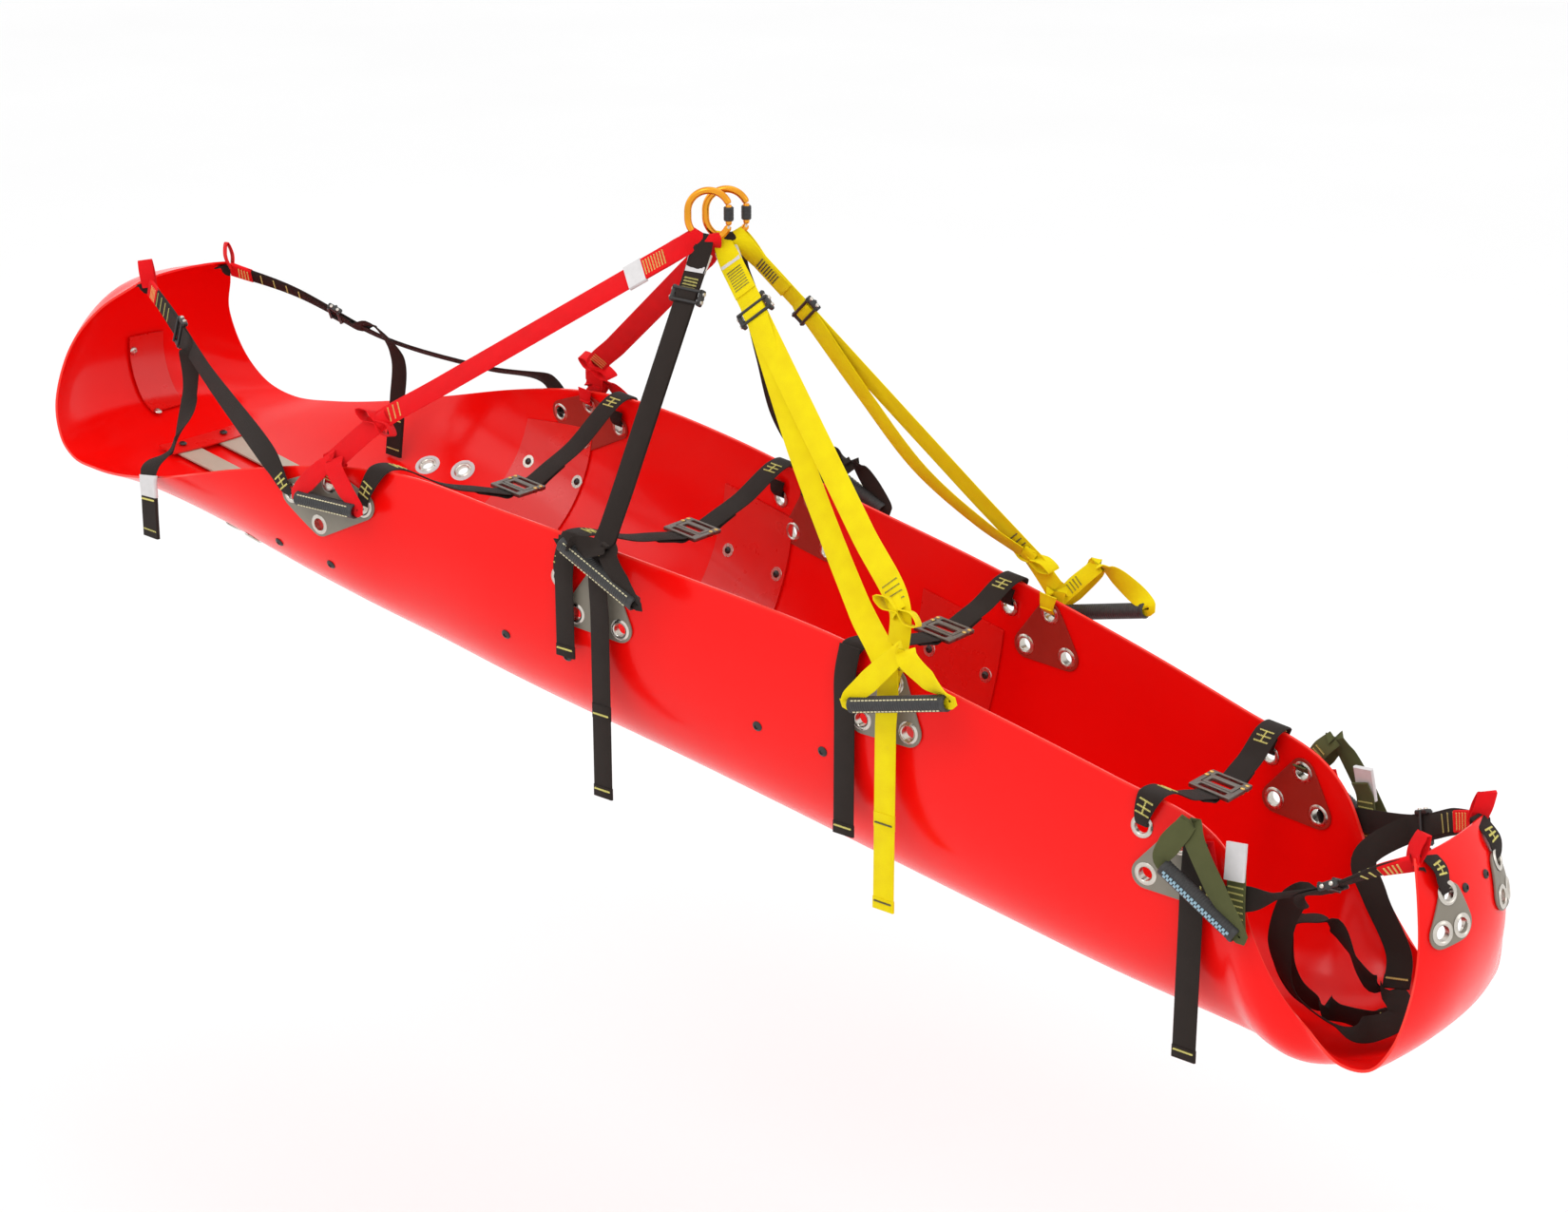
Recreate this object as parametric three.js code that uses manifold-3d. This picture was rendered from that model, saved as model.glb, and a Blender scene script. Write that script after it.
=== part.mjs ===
// Wrap-around rescue stretcher on its lifting bridle. Millimetres, +Z up.
// The body is drawn level in its own frame (+X to the feet, -Y the near side, z = 0 at the band bolts)
// and one group pitches it head-up, as it hangs. The origin is the lifting point of the karabiners.
import * as THREE from "three";
import { mergeVertices } from "three/addons/utils/BufferGeometryUtils.js";
import Module from "manifold-3d";

const wasm = await Module();
wasm.setup();

// ---------------------------------------------------------------- driving dimensions
const PITCH = THREE.MathUtils.degToRad(6.2); // head-up pitch of the hanging body
const LIFT = new THREE.Vector3(491, 0, 540); // lifting point, in the body's own frame
const SHEET = 3; // plastic sheet thickness
const GAP = 0.4; // clearance between touching pieces
const PLATE = 2.5; // side plate thickness
const PLATE_LIFT = 2.3; // a stiff plate stands this far off the curved sheet
const WEB = 1.8; // webbing thickness
const WEB_WIDTH = 29; // webbing width
const EYELET = { hole: 8.5, rim: 13, height: 1.6 };
const BAND = { width: 130, thickness: 2.2 };
const BATTEN = { centre: 37, width: 40, thickness: 2.4, head: 6, foot: 16.5 }; // ends, in stations
const KARABINER = { width: 58, height: 66, stock: 8.5, spread: 20, stagger: 13, yaw: 37.9 };
const GRIP = { radius: 9.5, segments: 12, standoff: 28 };
const SIDES = { near: -1, far: 1 };
const STYLE = {
  shell: { color: 0xe00a05, roughness: 0.25, metalness: 0 },
  band: { color: 0xd00a06, roughness: 0.35, metalness: 0 },
  batten: { color: 0xb9b3a4, roughness: 0.5, metalness: 0 },
  plate: { color: 0x8c8577, roughness: 0.6, metalness: 0.1 },
  gold: { color: 0xe08a10, roughness: 0.25, metalness: 1 },
  steel: { color: 0x77736b, roughness: 0.35, metalness: 1 },
  black: { color: 0x2b2725, roughness: 0.9, metalness: 0 },
  red: { color: 0xe0101e, roughness: 0.9, metalness: 0 },
  yellow: { color: 0xffdf10, roughness: 0.9, metalness: 0 },
  olive: { color: 0x4d512a, roughness: 0.9, metalness: 0 },
  moulded: { color: 0x1c1b1a, roughness: 0.5, metalness: 0 },
};

// The sheet's stations, hood tip to flap tip: the keel (x, z) and the free edge (x, y, z).
const STATIONS = [
  { keel: [-462, 201], edge: [-461, 78, 196] },
  { keel: [-530, 174], edge: [-504, 117, 151] },
  { keel: [-576, 112], edge: [-535, 142, 93] },
  { keel: [-586, 38], edge: [-531, 170, 22] },
  { keel: [-556, -22], edge: [-499, 187, -18] },
  { keel: [-500, -44], edge: [-455, 200, -31] },
  { keel: [-420, -52], edge: [-390, 216, -23] },
  { keel: [-320, -58], edge: [-310, 236, -4] },
  { keel: [-195, -68], edge: [-194, 256, 34] },
  { keel: [-62, -84], edge: [-62, 249, 84] },
  { keel: [75, -100], edge: [75, 231, 127] },
  { keel: [210, -116], edge: [210, 214, 152] },
  { keel: [375, -130], edge: [375, 204, 154] },
  { keel: [600, -146], edge: [600, 175, 148] },
  { keel: [825, -162], edge: [825, 152, 141] },
  { keel: [1050, -173], edge: [1050, 139, 119] },
  { keel: [1210, -180], edge: [1205, 127, 99] },
  { keel: [1330, -179], edge: [1310, 119, 83] },
  { keel: [1390, -177], edge: [1352, 117, 55] },
  { keel: [1430, -175], edge: [1387, 123, -6] },
  { keel: [1464, -169], edge: [1422, 122, -55] },
  { keel: [1494, -156], edge: [1466, 118, -93] },
  { keel: [1522, -138], edge: [1509, 118, -117] },
  { keel: [1550, -114], edge: [1543, 117, -110] },
  { keel: [1572, -84], edge: [1561, 112, -77] },
  { keel: [1586, -28], edge: [1565, 99, -21] },
  { keel: [1585, 27], edge: [1561, 93, 25] },
  { keel: [1566, 78], edge: [1548, 86, 72] },
  { keel: [1537, 119], edge: [1530, 75, 116] },
];

// ---------------------------------------------------------------- small helpers
const vec = (x, y, z) => new THREE.Vector3(x, y, z);
const X = vec(1, 0, 0);
const mirror = (p, side) => vec(p.x, p.y * side, p.z);
const along = (p, q, k) => p.clone().lerp(q, k);
const down = vec(Math.sin(PITCH), 0, -Math.cos(PITCH)); // gravity, seen from the body's frame
const body = new THREE.Group();

function material(style) {
  return new THREE.MeshStandardMaterial({ ...STYLE[style], side: THREE.FrontSide });
}

function add(name, geometry, style, parent = body) {
  const mesh = new THREE.Mesh(geometry, material(style));
  mesh.name = name;
  parent.add(mesh);
  return mesh;
}

function toSolid(geometry) {
  const plain = geometry.clone();
  plain.deleteAttribute("normal");
  plain.deleteAttribute("uv");
  const merged = outward(mergeVertices(plain, 1e-4));
  return new wasm.Manifold(new wasm.Mesh({
    numProp: 3,
    vertProperties: new Float32Array(merged.attributes.position.array),
    triVerts: new Uint32Array(merged.index.array),
  }));
}

function fromSolid(solid) {
  const mesh = solid.getMesh();
  const geometry = new THREE.BufferGeometry();
  geometry.setAttribute("position", new THREE.BufferAttribute(Float32Array.from(mesh.vertProperties), 3));
  geometry.setIndex(new THREE.BufferAttribute(Uint32Array.from(mesh.triVerts), 1));
  geometry.computeVertexNormals();
  return geometry;
}

function union(geometries) {
  return fromSolid(geometries.map(toSolid).reduce((whole, piece) => whole.add(piece)));
}

// A closed skin over rings of points: each ring joins the next, and fans close both ends.
function skin(rings) {
  const size = rings[0].length;
  const positions = rings.flat().flatMap((p) => [p.x, p.y, p.z]);
  const index = [];
  for (let i = 0; i + 1 < rings.length; i += 1) {
    for (let j = 0; j < size; j += 1) {
      const k = (j + 1) % size;
      index.push(i * size + j, i * size + k, (i + 1) * size + k);
      index.push(i * size + j, (i + 1) * size + k, (i + 1) * size + j);
    }
  }
  const last = (rings.length - 1) * size;
  for (let j = 1; j + 1 < size; j += 1) {
    index.push(0, j + 1, j, last, last + j, last + j + 1);
  }
  const geometry = new THREE.BufferGeometry();
  geometry.setAttribute("position", new THREE.Float32BufferAttribute(positions, 3));
  geometry.setIndex(index);
  geometry.computeVertexNormals();
  return outward(geometry);
}

// Flips a closed mesh whose faces point in, found from the sign of its volume.
function outward(geometry) {
  const p = geometry.attributes.position;
  const index = geometry.index.array;
  let volume = 0;
  for (let i = 0; i < index.length; i += 3) {
    const [a, b, c] = [0, 1, 2].map((k) => new THREE.Vector3().fromBufferAttribute(p, index[i + k]));
    volume += a.dot(b.cross(c));
  }
  if (volume < 0) {
    for (let i = 0; i < index.length; i += 3) {
      [index[i + 1], index[i + 2]] = [index[i + 2], index[i + 1]];
    }
    geometry.computeVertexNormals();
  }
  return geometry;
}

// ---------------------------------------------------------------- the sheet's surface
const keelCurve = new THREE.CatmullRomCurve3(STATIONS.map(({ keel }) => vec(keel[0], 0, keel[1])));
const edgeCurve = new THREE.CatmullRomCurve3(STATIONS.map(({ edge }) => vec(...edge)));

function inwardAt(s) {
  const ahead = keelCurve.getPoint(Math.min(1, s + 0.002));
  const behind = keelCurve.getPoint(Math.max(0, s - 0.002));
  const run = ahead.sub(behind).normalize();
  return vec(-run.z, 0, run.x);
}

// Middle of the sheet at s along it (0 hood tip, 1 flap tip) and t across it (-1 near edge, 1 far edge).
// Each half-section is one cubic from the keel to the edge: a deep section stands up as walls,
// a shallow one lies flat.
function sheetPoint(s, t) {
  const side = t < 0 ? -1 : 1;
  const k = Math.abs(t);
  const keel = keelCurve.getPoint(s);
  const edge = edgeCurve.getPoint(s);
  const inward = inwardAt(s);
  const height = edge.clone().sub(keel).dot(inward);
  const depth = THREE.MathUtils.smoothstep(height / edge.y / 1.2, 0, 1);
  const floor = keel.clone().add(vec(0, edge.y * (0.5 + 0.3 * depth), 0));
  const wall = edge.clone().addScaledVector(inward, -0.6 * height);
  wall.y += edge.y * (-0.33 + 0.57 * depth);
  const point = new THREE.CubicBezierCurve3(keel, floor, wall, edge).getPoint(k);
  return mirror(point, side);
}

// Unit normal pointing out of the trough.
function sheetNormal(s, t) {
  const d = 0.004;
  const [s0, s1] = [Math.max(0, s - d), Math.min(1, s + d)];
  const [t0, t1] = [Math.max(-1, t - d), Math.min(1, t + d)];
  const lengthwise = sheetPoint(s1, t).sub(sheetPoint(s0, t));
  const across = sheetPoint(s, t1).sub(sheetPoint(s, t0));
  return across.cross(lengthwise).normalize();
}

function offSheet(s, t, offset) {
  return sheetPoint(s, t).addScaledVector(sheetNormal(s, t), offset);
}

// The surface sampled once, to start each search for a nearest point.
const SAMPLES = [];
for (let i = 0; i <= 140; i += 1) {
  for (let j = -20; j <= 20; j += 1) {
    SAMPLES.push({ s: i / 140, t: j / 20, point: sheetPoint(i / 140, j / 20) });
  }
}

function nearest(p) {
  let best = SAMPLES[0];
  let least = Infinity;
  for (const sample of SAMPLES) {
    const distance = sample.point.distanceToSquared(p);
    if (distance < least) {
      least = distance;
      best = sample;
    }
  }
  let { s, t } = best;
  let step = [1 / 280, 1 / 40];
  for (let round = 0; round < 24; round += 1) {
    let moved = false;
    for (const [ds, dt] of [[step[0], 0], [-step[0], 0], [0, step[1]], [0, -step[1]]]) {
      const [ns, nt] = [THREE.MathUtils.clamp(s + ds, 0, 1), THREE.MathUtils.clamp(t + dt, -1, 1)];
      const distance = sheetPoint(ns, nt).distanceToSquared(p);
      if (distance < least) {
        [least, s, t, moved] = [distance, ns, nt, true];
      }
    }
    if (!moved) step = step.map((size) => size / 2);
  }
  return { s, t, point: sheetPoint(s, t), normal: sheetNormal(s, t) };
}

// The place on the side wall at (x, z) of the given side.
function onWall(x, z, side) {
  let y = 200;
  let spot;
  for (let round = 0; round < 4; round += 1) {
    spot = nearest(vec(x, y * side, z));
    y = Math.abs(spot.point.y);
  }
  return spot;
}

// Bends a flat piece onto the sheet: its x and y go along run and rise from the anchor,
// and its z stands off the sheet's outer face.
function bend(geometry, anchor, run, rise, lift) {
  const p = geometry.attributes.position;
  for (let i = 0; i < p.count; i += 1) {
    const flat = anchor.point.clone();
    flat.addScaledVector(run, p.getX(i)).addScaledVector(rise, p.getY(i));
    const spot = nearest(flat);
    const place = spot.point.addScaledVector(spot.normal, SHEET / 2 + lift + p.getZ(i));
    p.setXYZ(i, place.x, place.y, place.z);
  }
  return outward(geometry);
}

// ---------------------------------------------------------------- sheet, bands and battens
const BANDS = { chest: 47, waist: 432, leg: 796 };
const LAST = STATIONS.length - 1;
const COLUMN = 1 / 7; // spacing of the drawn columns across half the sheet
const COLUMNS = Array.from({ length: 15 }, (_, j) => -1 + j * COLUMN);

// The place along the keel with this x.
function alongAt(x) {
  let [low, high] = [3 / LAST, 20 / LAST];
  for (let round = 0; round < 40; round += 1) {
    const middle = (low + high) / 2;
    if (keelCurve.getPoint(middle).x < x) low = middle;
    else high = middle;
  }
  return low;
}

const bandEnds = (x) => [alongAt(x - BAND.width / 2), alongAt(x + BAND.width / 2)];

// Rows of the drawn sheet: each station, the half-way places at the curled ends, and the bands' edges.
function sheetRows() {
  const rows = Object.values(BANDS).flatMap(bandEnds);
  const even = (i) => i >= 8 && i < 15;
  for (let i = 0; i <= LAST; i += even(i) ? 1 : 0.5) rows.push(i / LAST);
  return rows.sort((a, b) => a - b);
}

const ROWS = sheetRows();
const rowsBetween = (s0, s1) => ROWS.filter((s) => s >= s0 - 1e-9 && s <= s1 + 1e-9);

// A closed slab between two like grids of points, with both faces cut along the same diagonals.
function slabSkin(outer, inner) {
  const [rows, columns] = [outer.length, outer[0].length];
  const at = (face, i, j) => (face * rows + i) * columns + j;
  const index = [];
  const quad = (a, b, c, d) => index.push(a, b, c, a, c, d);
  const [row, column] = [rows - 1, columns - 1];
  for (let i = 0; i < row; i += 1) {
    for (let j = 0; j < column; j += 1) {
      quad(at(0, i, j), at(0, i, j + 1), at(0, i + 1, j + 1), at(0, i + 1, j));
      quad(at(1, i, j), at(1, i + 1, j), at(1, i + 1, j + 1), at(1, i, j + 1));
    }
    quad(at(0, i, 0), at(0, i + 1, 0), at(1, i + 1, 0), at(1, i, 0));
    quad(at(0, i, column), at(1, i, column), at(1, i + 1, column), at(0, i + 1, column));
  }
  for (let j = 0; j < column; j += 1) {
    quad(at(0, 0, j), at(1, 0, j), at(1, 0, j + 1), at(0, 0, j + 1));
    quad(at(0, row, j), at(0, row, j + 1), at(1, row, j + 1), at(1, row, j));
  }
  const positions = [...outer.flat(), ...inner.flat()].flatMap((p) => [p.x, p.y, p.z]);
  const geometry = new THREE.BufferGeometry();
  geometry.setAttribute("position", new THREE.Float32BufferAttribute(positions, 3));
  geometry.setIndex(index);
  return outward(geometry);
}

// A slab of even thickness over whole cells of the sheet.
function slab(rows, columns, offset, thickness) {
  const face = (lift) => rows.map((s) => columns.map((t) => offSheet(s, t, offset + lift)));
  return slabSkin(face(thickness / 2), face(-thickness / 2));
}

function addShell() {
  add("shell", slab(ROWS, COLUMNS, 0, SHEET), "shell");
}

function addBands() {
  const offset = -(SHEET + BAND.thickness) / 2 - GAP;
  for (const [name, x] of Object.entries(BANDS)) {
    add(`band_${name}`, slab(rowsBetween(...bandEnds(x)), COLUMNS.slice(1, -1), offset, BAND.thickness), "band");
  }
}

// A point off the sheet's drawn facets, part of the way between two columns.
function offFacet(s, t, offset) {
  const j = Math.min(COLUMNS.length - 2, Math.floor((t + 1) / COLUMN));
  const k = (t - COLUMNS[j]) / COLUMN;
  return along(offSheet(s, COLUMNS[j], offset), offSheet(s, COLUMNS[j + 1], offset), k);
}

function acrossAt(s, distance) {
  let t = 0;
  while (Math.abs(sheetPoint(s, t).y) < distance) t += 0.002;
  return t;
}

// A batten lies on the sheet's floor at an even distance from the keel, over the bands.
function addBattens() {
  const { centre, width, thickness, head, foot } = BATTEN;
  const offset = -(SHEET + thickness) / 2 - BAND.thickness - 3 * GAP;
  const rows = rowsBetween(head / LAST, foot / LAST);
  for (const [name, side] of Object.entries(SIDES)) {
    const face = (lift) => rows.map((s) => [-1, 1].map((end) => {
      const t = acrossAt(s, centre + (end * width) / 2);
      return offFacet(s, t * side, offset + lift);
    }));
    add(`batten_${name}`, slabSkin(face(thickness / 2), face(-thickness / 2)), "batten");
  }
}

// ---------------------------------------------------------------- plates with eyelets
// Side plates: eyelets as (x, z) on the wall, in order round the outline.
const PLATES = {
  head: [[42, 84], [91, 57], [160, 99], [101, 113]],
  middle: [[494, 64], [557, 62], [524, 118]],
  footmid: [[892, 60], [954, 65], [925, 113]],
  foot: [[1262, 9], [1321, 12], [1294, 56]],
};
const PLATE_MARGIN = 17;

// A plate's outline: the eyelets' places with a round corner about each.
function plateShape(centres) {
  const shape = new THREE.Shape();
  const count = centres.length;
  centres.forEach((centre, i) => {
    const before = centres[(i + count - 1) % count];
    const after = centres[(i + 1) % count];
    const start = Math.atan2(centre.y - before.y, centre.x - before.x) - Math.PI / 2;
    const end = Math.atan2(after.y - centre.y, after.x - centre.x) - Math.PI / 2;
    shape.absarc(centre.x, centre.y, PLATE_MARGIN, start, end, false);
  });
  for (const centre of centres) {
    const hole = new THREE.Path();
    hole.absarc(centre.x, centre.y, EYELET.hole, 0, 2 * Math.PI, true);
    shape.holes.push(hole);
  }
  return shape;
}

function eyeletRing(centre) {
  const profile = [
    new THREE.Vector2(EYELET.hole - 0.6, -0.2),
    new THREE.Vector2(EYELET.rim, -0.2),
    new THREE.Vector2(EYELET.hole + 0.8, EYELET.height),
    new THREE.Vector2(EYELET.hole - 0.6, -0.2),
  ];
  const ring = new THREE.LatheGeometry(profile, 8);
  ring.rotateX(Math.PI / 2);
  ring.translate(centre.x, centre.y, PLATE);
  return ring;
}

function plateGeometry(centres) {
  const flat = new THREE.ExtrudeGeometry(plateShape(centres), {
    depth: PLATE, bevelEnabled: false, curveSegments: 4,
  });
  return union([flat, ...centres.map(eyeletRing)]);
}

// Flat places of points, measured from the anchor along run and rise, in counterclockwise order.
function flatten(points, anchor, run, rise) {
  const flat = points.map((p) => {
    const offset = p.clone().sub(anchor.point);
    return new THREE.Vector2(offset.dot(run), offset.dot(rise));
  });
  return flat.sort((p, q) => p.angle() - q.angle());
}

function addSidePlates() {
  for (const [name, eyelets] of Object.entries(PLATES)) {
    for (const [end, side] of Object.entries(SIDES)) {
      const spots = eyelets.map(([x, z]) => onWall(x, z, side).point);
      const middle = spots.reduce((sum, p) => sum.add(p), vec(0, 0, 0)).divideScalar(spots.length);
      const anchor = nearest(middle);
      const rise = X.clone().cross(anchor.normal).multiplyScalar(-side).normalize();
      const centres = flatten(spots, anchor, X, rise);
      add(`plate_${name}_${end}`, bend(plateGeometry(centres), anchor, X, rise, PLATE_LIFT), "plate");
    }
  }
}

// Flap plates: eyelets as (y, z) on the flap's outer face, mirrored for the far one.
const FLAP_PLATE = [[-71, 47], [-43, 47], [-58, 90]];

function addFlapPlates() {
  for (const [end, side] of Object.entries(SIDES)) {
    const spots = FLAP_PLATE.map(([y, z]) => nearest(vec(1575, y * -side, z)).point);
    const middle = spots.reduce((sum, p) => sum.add(p), vec(0, 0, 0)).divideScalar(spots.length);
    const anchor = nearest(middle);
    const [run, rise] = [vec(0, 1, 0), vec(0, 0, 1)];
    const centres = flatten(spots, anchor, run, rise);
    add(`plate_flap_${end}`, bend(plateGeometry(centres), anchor, run, rise, PLATE_LIFT + 1), "plate");
  }
}

// ---------------------------------------------------------------- karabiners
const ROUND = (KARABINER.width - KARABINER.stock) / 2; // radius of the bows' centreline
const STRAIGHT = KARABINER.height - KARABINER.width; // straight run between the bows
const GATE = { radius: 3.7, gap: 1.6, opening: THREE.MathUtils.degToRad(22) };
const SLEEVE = { inner: 4.1, outer: 6.2, length: 15 };
const GATE_X = ROUND * Math.cos(GATE.opening); // the gate closes a chord of the bows
const GATE_REACH = STRAIGHT / 2 + ROUND * Math.sin(GATE.opening);

// A karabiner's body: round stock in its own xz plane, two bows with the gate's opening on +x.
function karabinerPath() {
  const points = [];
  for (const end of [1, -1]) {
    const bow = [];
    for (let i = 0; i <= 11; i += 1) {
      const angle = GATE.opening + ((Math.PI - GATE.opening) * i) / 11;
      bow.push(vec(ROUND * Math.cos(angle), 0, end * (STRAIGHT / 2 + ROUND * Math.sin(angle))));
    }
    points.push(...(end > 0 ? bow : bow.reverse()));
  }
  return points;
}

// Round stock along a list of points, as rings of a regular polygon.
function rod(points, radius, sides) {
  const rings = points.map((point, i) => {
    const before = points[Math.max(0, i - 1)];
    const after = points[Math.min(points.length - 1, i + 1)];
    const tangent = after.clone().sub(before).normalize();
    const binormal = vec(0, 1, 0);
    const normal = binormal.clone().cross(tangent).normalize();
    return Array.from({ length: sides }, (_, k) => {
      const angle = (2 * Math.PI * k) / sides;
      return point.clone()
        .addScaledVector(normal, radius * Math.cos(angle))
        .addScaledVector(binormal, radius * Math.sin(angle));
    });
  });
  return skin(rings);
}

function gateGeometry() {
  const reach = GATE_REACH - GATE.gap - 1;
  const profile = [new THREE.Vector2(0, -reach)];
  for (let i = 1; i <= 4; i += 1) {
    const angle = (Math.PI * i) / 8;
    const x = GATE.radius * Math.sin(angle);
    profile.push(new THREE.Vector2(x, -reach + GATE.radius * (1 - Math.cos(angle))));
  }
  profile.push(new THREE.Vector2(GATE.radius, reach), new THREE.Vector2(0, reach));
  const gate = new THREE.LatheGeometry(profile, 12);
  gate.rotateX(Math.PI / 2);
  gate.translate(GATE_X, 0, 0);
  return gate;
}

function sleeveGeometry() {
  const { inner, outer, length } = SLEEVE;
  const half = length / 2;
  const profile = [[inner, -half], [outer, -half], [outer, half], [inner, half], [inner, -half]];
  const sleeve = new THREE.LatheGeometry(profile.map(([x, y]) => new THREE.Vector2(x, y)), 12);
  sleeve.rotateX(Math.PI / 2);
  sleeve.translate(GATE_X, 0, 1.5);
  return sleeve;
}

const karabinerInside = ROUND - KARABINER.stock / 2;

// The two karabiners hang plumb, side by side, with their lifting point at LIFT.
function karabinerGroup(sign) {
  const yaw = THREE.MathUtils.degToRad(KARABINER.yaw);
  const centre = LIFT.clone().addScaledVector(down, karabinerInside + STRAIGHT / 2);
  const right = vec(Math.cos(yaw), Math.sin(yaw), 0);
  const away = vec(-Math.sin(yaw), Math.cos(yaw), 0);
  centre.addScaledVector(right, (sign * KARABINER.spread) / 2);
  centre.addScaledVector(away, (sign * KARABINER.stagger) / 2);
  const group = new THREE.Group();
  group.position.copy(centre);
  group.rotation.set(0, -PITCH, yaw, "YXZ");
  group.userData = { centre, right, away };
  body.add(group);
  return group;
}

const HANGERS = {};

function addKarabiners() {
  for (const [name, sign] of [["a", -1], ["b", 1]]) {
    const group = karabinerGroup(sign);
    add(`karabiner_${name}_body`, rod(karabinerPath(), KARABINER.stock / 2, 10), "gold", group);
    add(`karabiner_${name}_gate`, gateGeometry(), "gold", group);
    add(`karabiner_${name}_sleeve`, sleeveGeometry(), "moulded", group);
    const { centre, right } = group.userData;
    HANGERS[name] = { bow: centre.clone().addScaledVector(down, STRAIGHT / 2), right };
  }
}

// ---------------------------------------------------------------- webbing
// A strap along points: each point gives its place and the direction its width lies along.
function strap(route, width = WEB_WIDTH, thickness = WEB) {
  const rings = route.map(({ at, across, wide = width }, i) => {
    const before = route[Math.max(0, i - 1)].at;
    const after = route[Math.min(route.length - 1, i + 1)].at;
    const tangent = after.clone().sub(before).normalize();
    const flat = across.clone().addScaledVector(tangent, -across.dot(tangent)).normalize();
    const normal = tangent.clone().cross(flat);
    return [[-1, -1], [1, -1], [1, 1], [-1, 1]].map(([a, b]) => at.clone()
      .addScaledVector(flat, (a * wide) / 2)
      .addScaledVector(normal, (b * thickness) / 2));
  });
  return skin(rings);
}

// A smooth route through a few places: [point, width direction, width].
function route(places, steps) {
  const curve = new THREE.CatmullRomCurve3(places.map(([at]) => at));
  return Array.from({ length: steps + 1 }, (_, i) => {
    const u = (i / steps) * (places.length - 1);
    const k = Math.min(places.length - 2, Math.floor(u));
    const [, before, wide = WEB_WIDTH] = places[k];
    const [, after, wider = WEB_WIDTH] = places[k + 1];
    return {
      at: curve.getPoint(i / steps),
      across: along(before, after, u - k).normalize(),
      wide: wide + (wider - wide) * (u - k),
    };
  });
}

// A point standing off the outside (or, with a negative lift, the inside) of the side wall.
function besideWall(x, z, side, lift) {
  const spot = onWall(x, z, side);
  return spot.point.addScaledVector(spot.normal, lift);
}

// The free edge's height and place at x on a side.
function rimAt(x, side, lift = 0) {
  let [low, high] = [9 / 28, 18 / 28];
  for (let round = 0; round < 40; round += 1) {
    const middle = (low + high) / 2;
    if (edgeCurve.getPoint(middle).x < x) low = middle;
    else high = middle;
  }
  const edge = edgeCurve.getPoint(low);
  return vec(edge.x, edge.y * side, edge.z + lift);
}

// Bridle legs: from a karabiner's bow over the rim to the top eyelet of a side plate. The knee is
// the stiff sewn end that stands above the rim.
const LEGS = [
  { name: "red_near", side: -1, style: "red", hanger: "a", slot: -17, plate: "head", knee: [160, 214, 206] },
  { name: "red_far", side: 1, style: "red", hanger: "a", slot: 6, plate: "head", knee: [120, 216, 176] },
  { name: "black_near", side: -1, style: "black", hanger: "a", slot: -6, plate: "middle", adjuster: 0.17 },
  { name: "yellow_near", side: -1, style: "yellow", hanger: "b", slot: -6, plate: "footmid",
    knee: [922, 152, 200], adjuster: 0.2 },
  { name: "black_far", side: 1, style: "black", hanger: "b", slot: 6, plate: "middle", adjuster: 0.21 },
  { name: "yellow_far", side: 1, style: "yellow", hanger: "b", slot: 18, plate: "footmid",
    knee: [888, 152, 170], adjuster: 0.22 },
];
const OVER_PLATE = SHEET / 2 + PLATE_LIFT + PLATE + EYELET.height + WEB + 0.6; // webbing's height over an eyelet
const BUNCH = 11; // width of a leg gathered at the karabiner
const topEyelet = (plate) => PLATES[plate].reduce((best, spot) => (spot[1] > best[1] ? spot : best));

function legEnds(leg) {
  const { bow, right } = HANGERS[leg.hanger];
  const reach = ROUND + KARABINER.stock / 2 + 3.4;
  const top = bow.clone().addScaledVector(right, leg.slot);
  top.addScaledVector(down, Math.sqrt(reach ** 2 - leg.slot ** 2));
  const [x, z] = topEyelet(leg.plate);
  const rim = rimAt(x, leg.side, 6);
  rim.y += leg.side * OVER_PLATE;
  const knee = leg.knee ? mirror(vec(...leg.knee), leg.side) : rim;
  return { top, right, rim, knee, x, z };
}

function addLegs() {
  for (const leg of LEGS) {
    const { top, right, rim, knee, x, z } = legEnds(leg);
    const places = [[top, right, BUNCH], [along(top, knee, 0.1), X], [along(top, knee, 0.5), X], [knee, X]];
    if (leg.knee) places.push([rim, X]);
    places.push([besideWall(x, z, leg.side, OVER_PLATE), X, 18]);
    const pieces = [strap(route(places, 16))];
    if (TAILS[leg.name]) pieces.push(strap(route(TAILS[leg.name](leg), 12)));
    add(`leg_${leg.name}`, union(pieces), leg.style);
  }
}

// Free ends of the near middle and foot legs: over the rim, then plumb down outside the wall.
const TAILS = {
  black_near: (leg) => {
    const { top, knee } = legEnds(leg);
    return [[along(top, knee, 0.6), X], [along(top, knee, 0.93), X], ...hang(vec(531, -208, 148), 300)];
  },
  yellow_near: (leg) => {
    const { top, knee } = legEnds(leg);
    const over = rimAt(893, -1, 8);
    return [[along(top, knee, 0.5), X], [along(top, over, 0.8), X], ...hang(vec(927, -171, 138), 290)];
  },
};

// Places down a strap that hangs free from a point.
function hang(from, length, parts = 4) {
  return Array.from({ length: parts + 1 }, (_, i) => [from.clone().addScaledVector(down, (length * i) / parts), X]);
}

// A slotted slider round a leg: it moves along the straight upper run.
const SLIDER = { width: 46, height: 20, depth: 8, slotWidth: WEB_WIDTH + 4, slotDepth: 4.4 };

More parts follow.
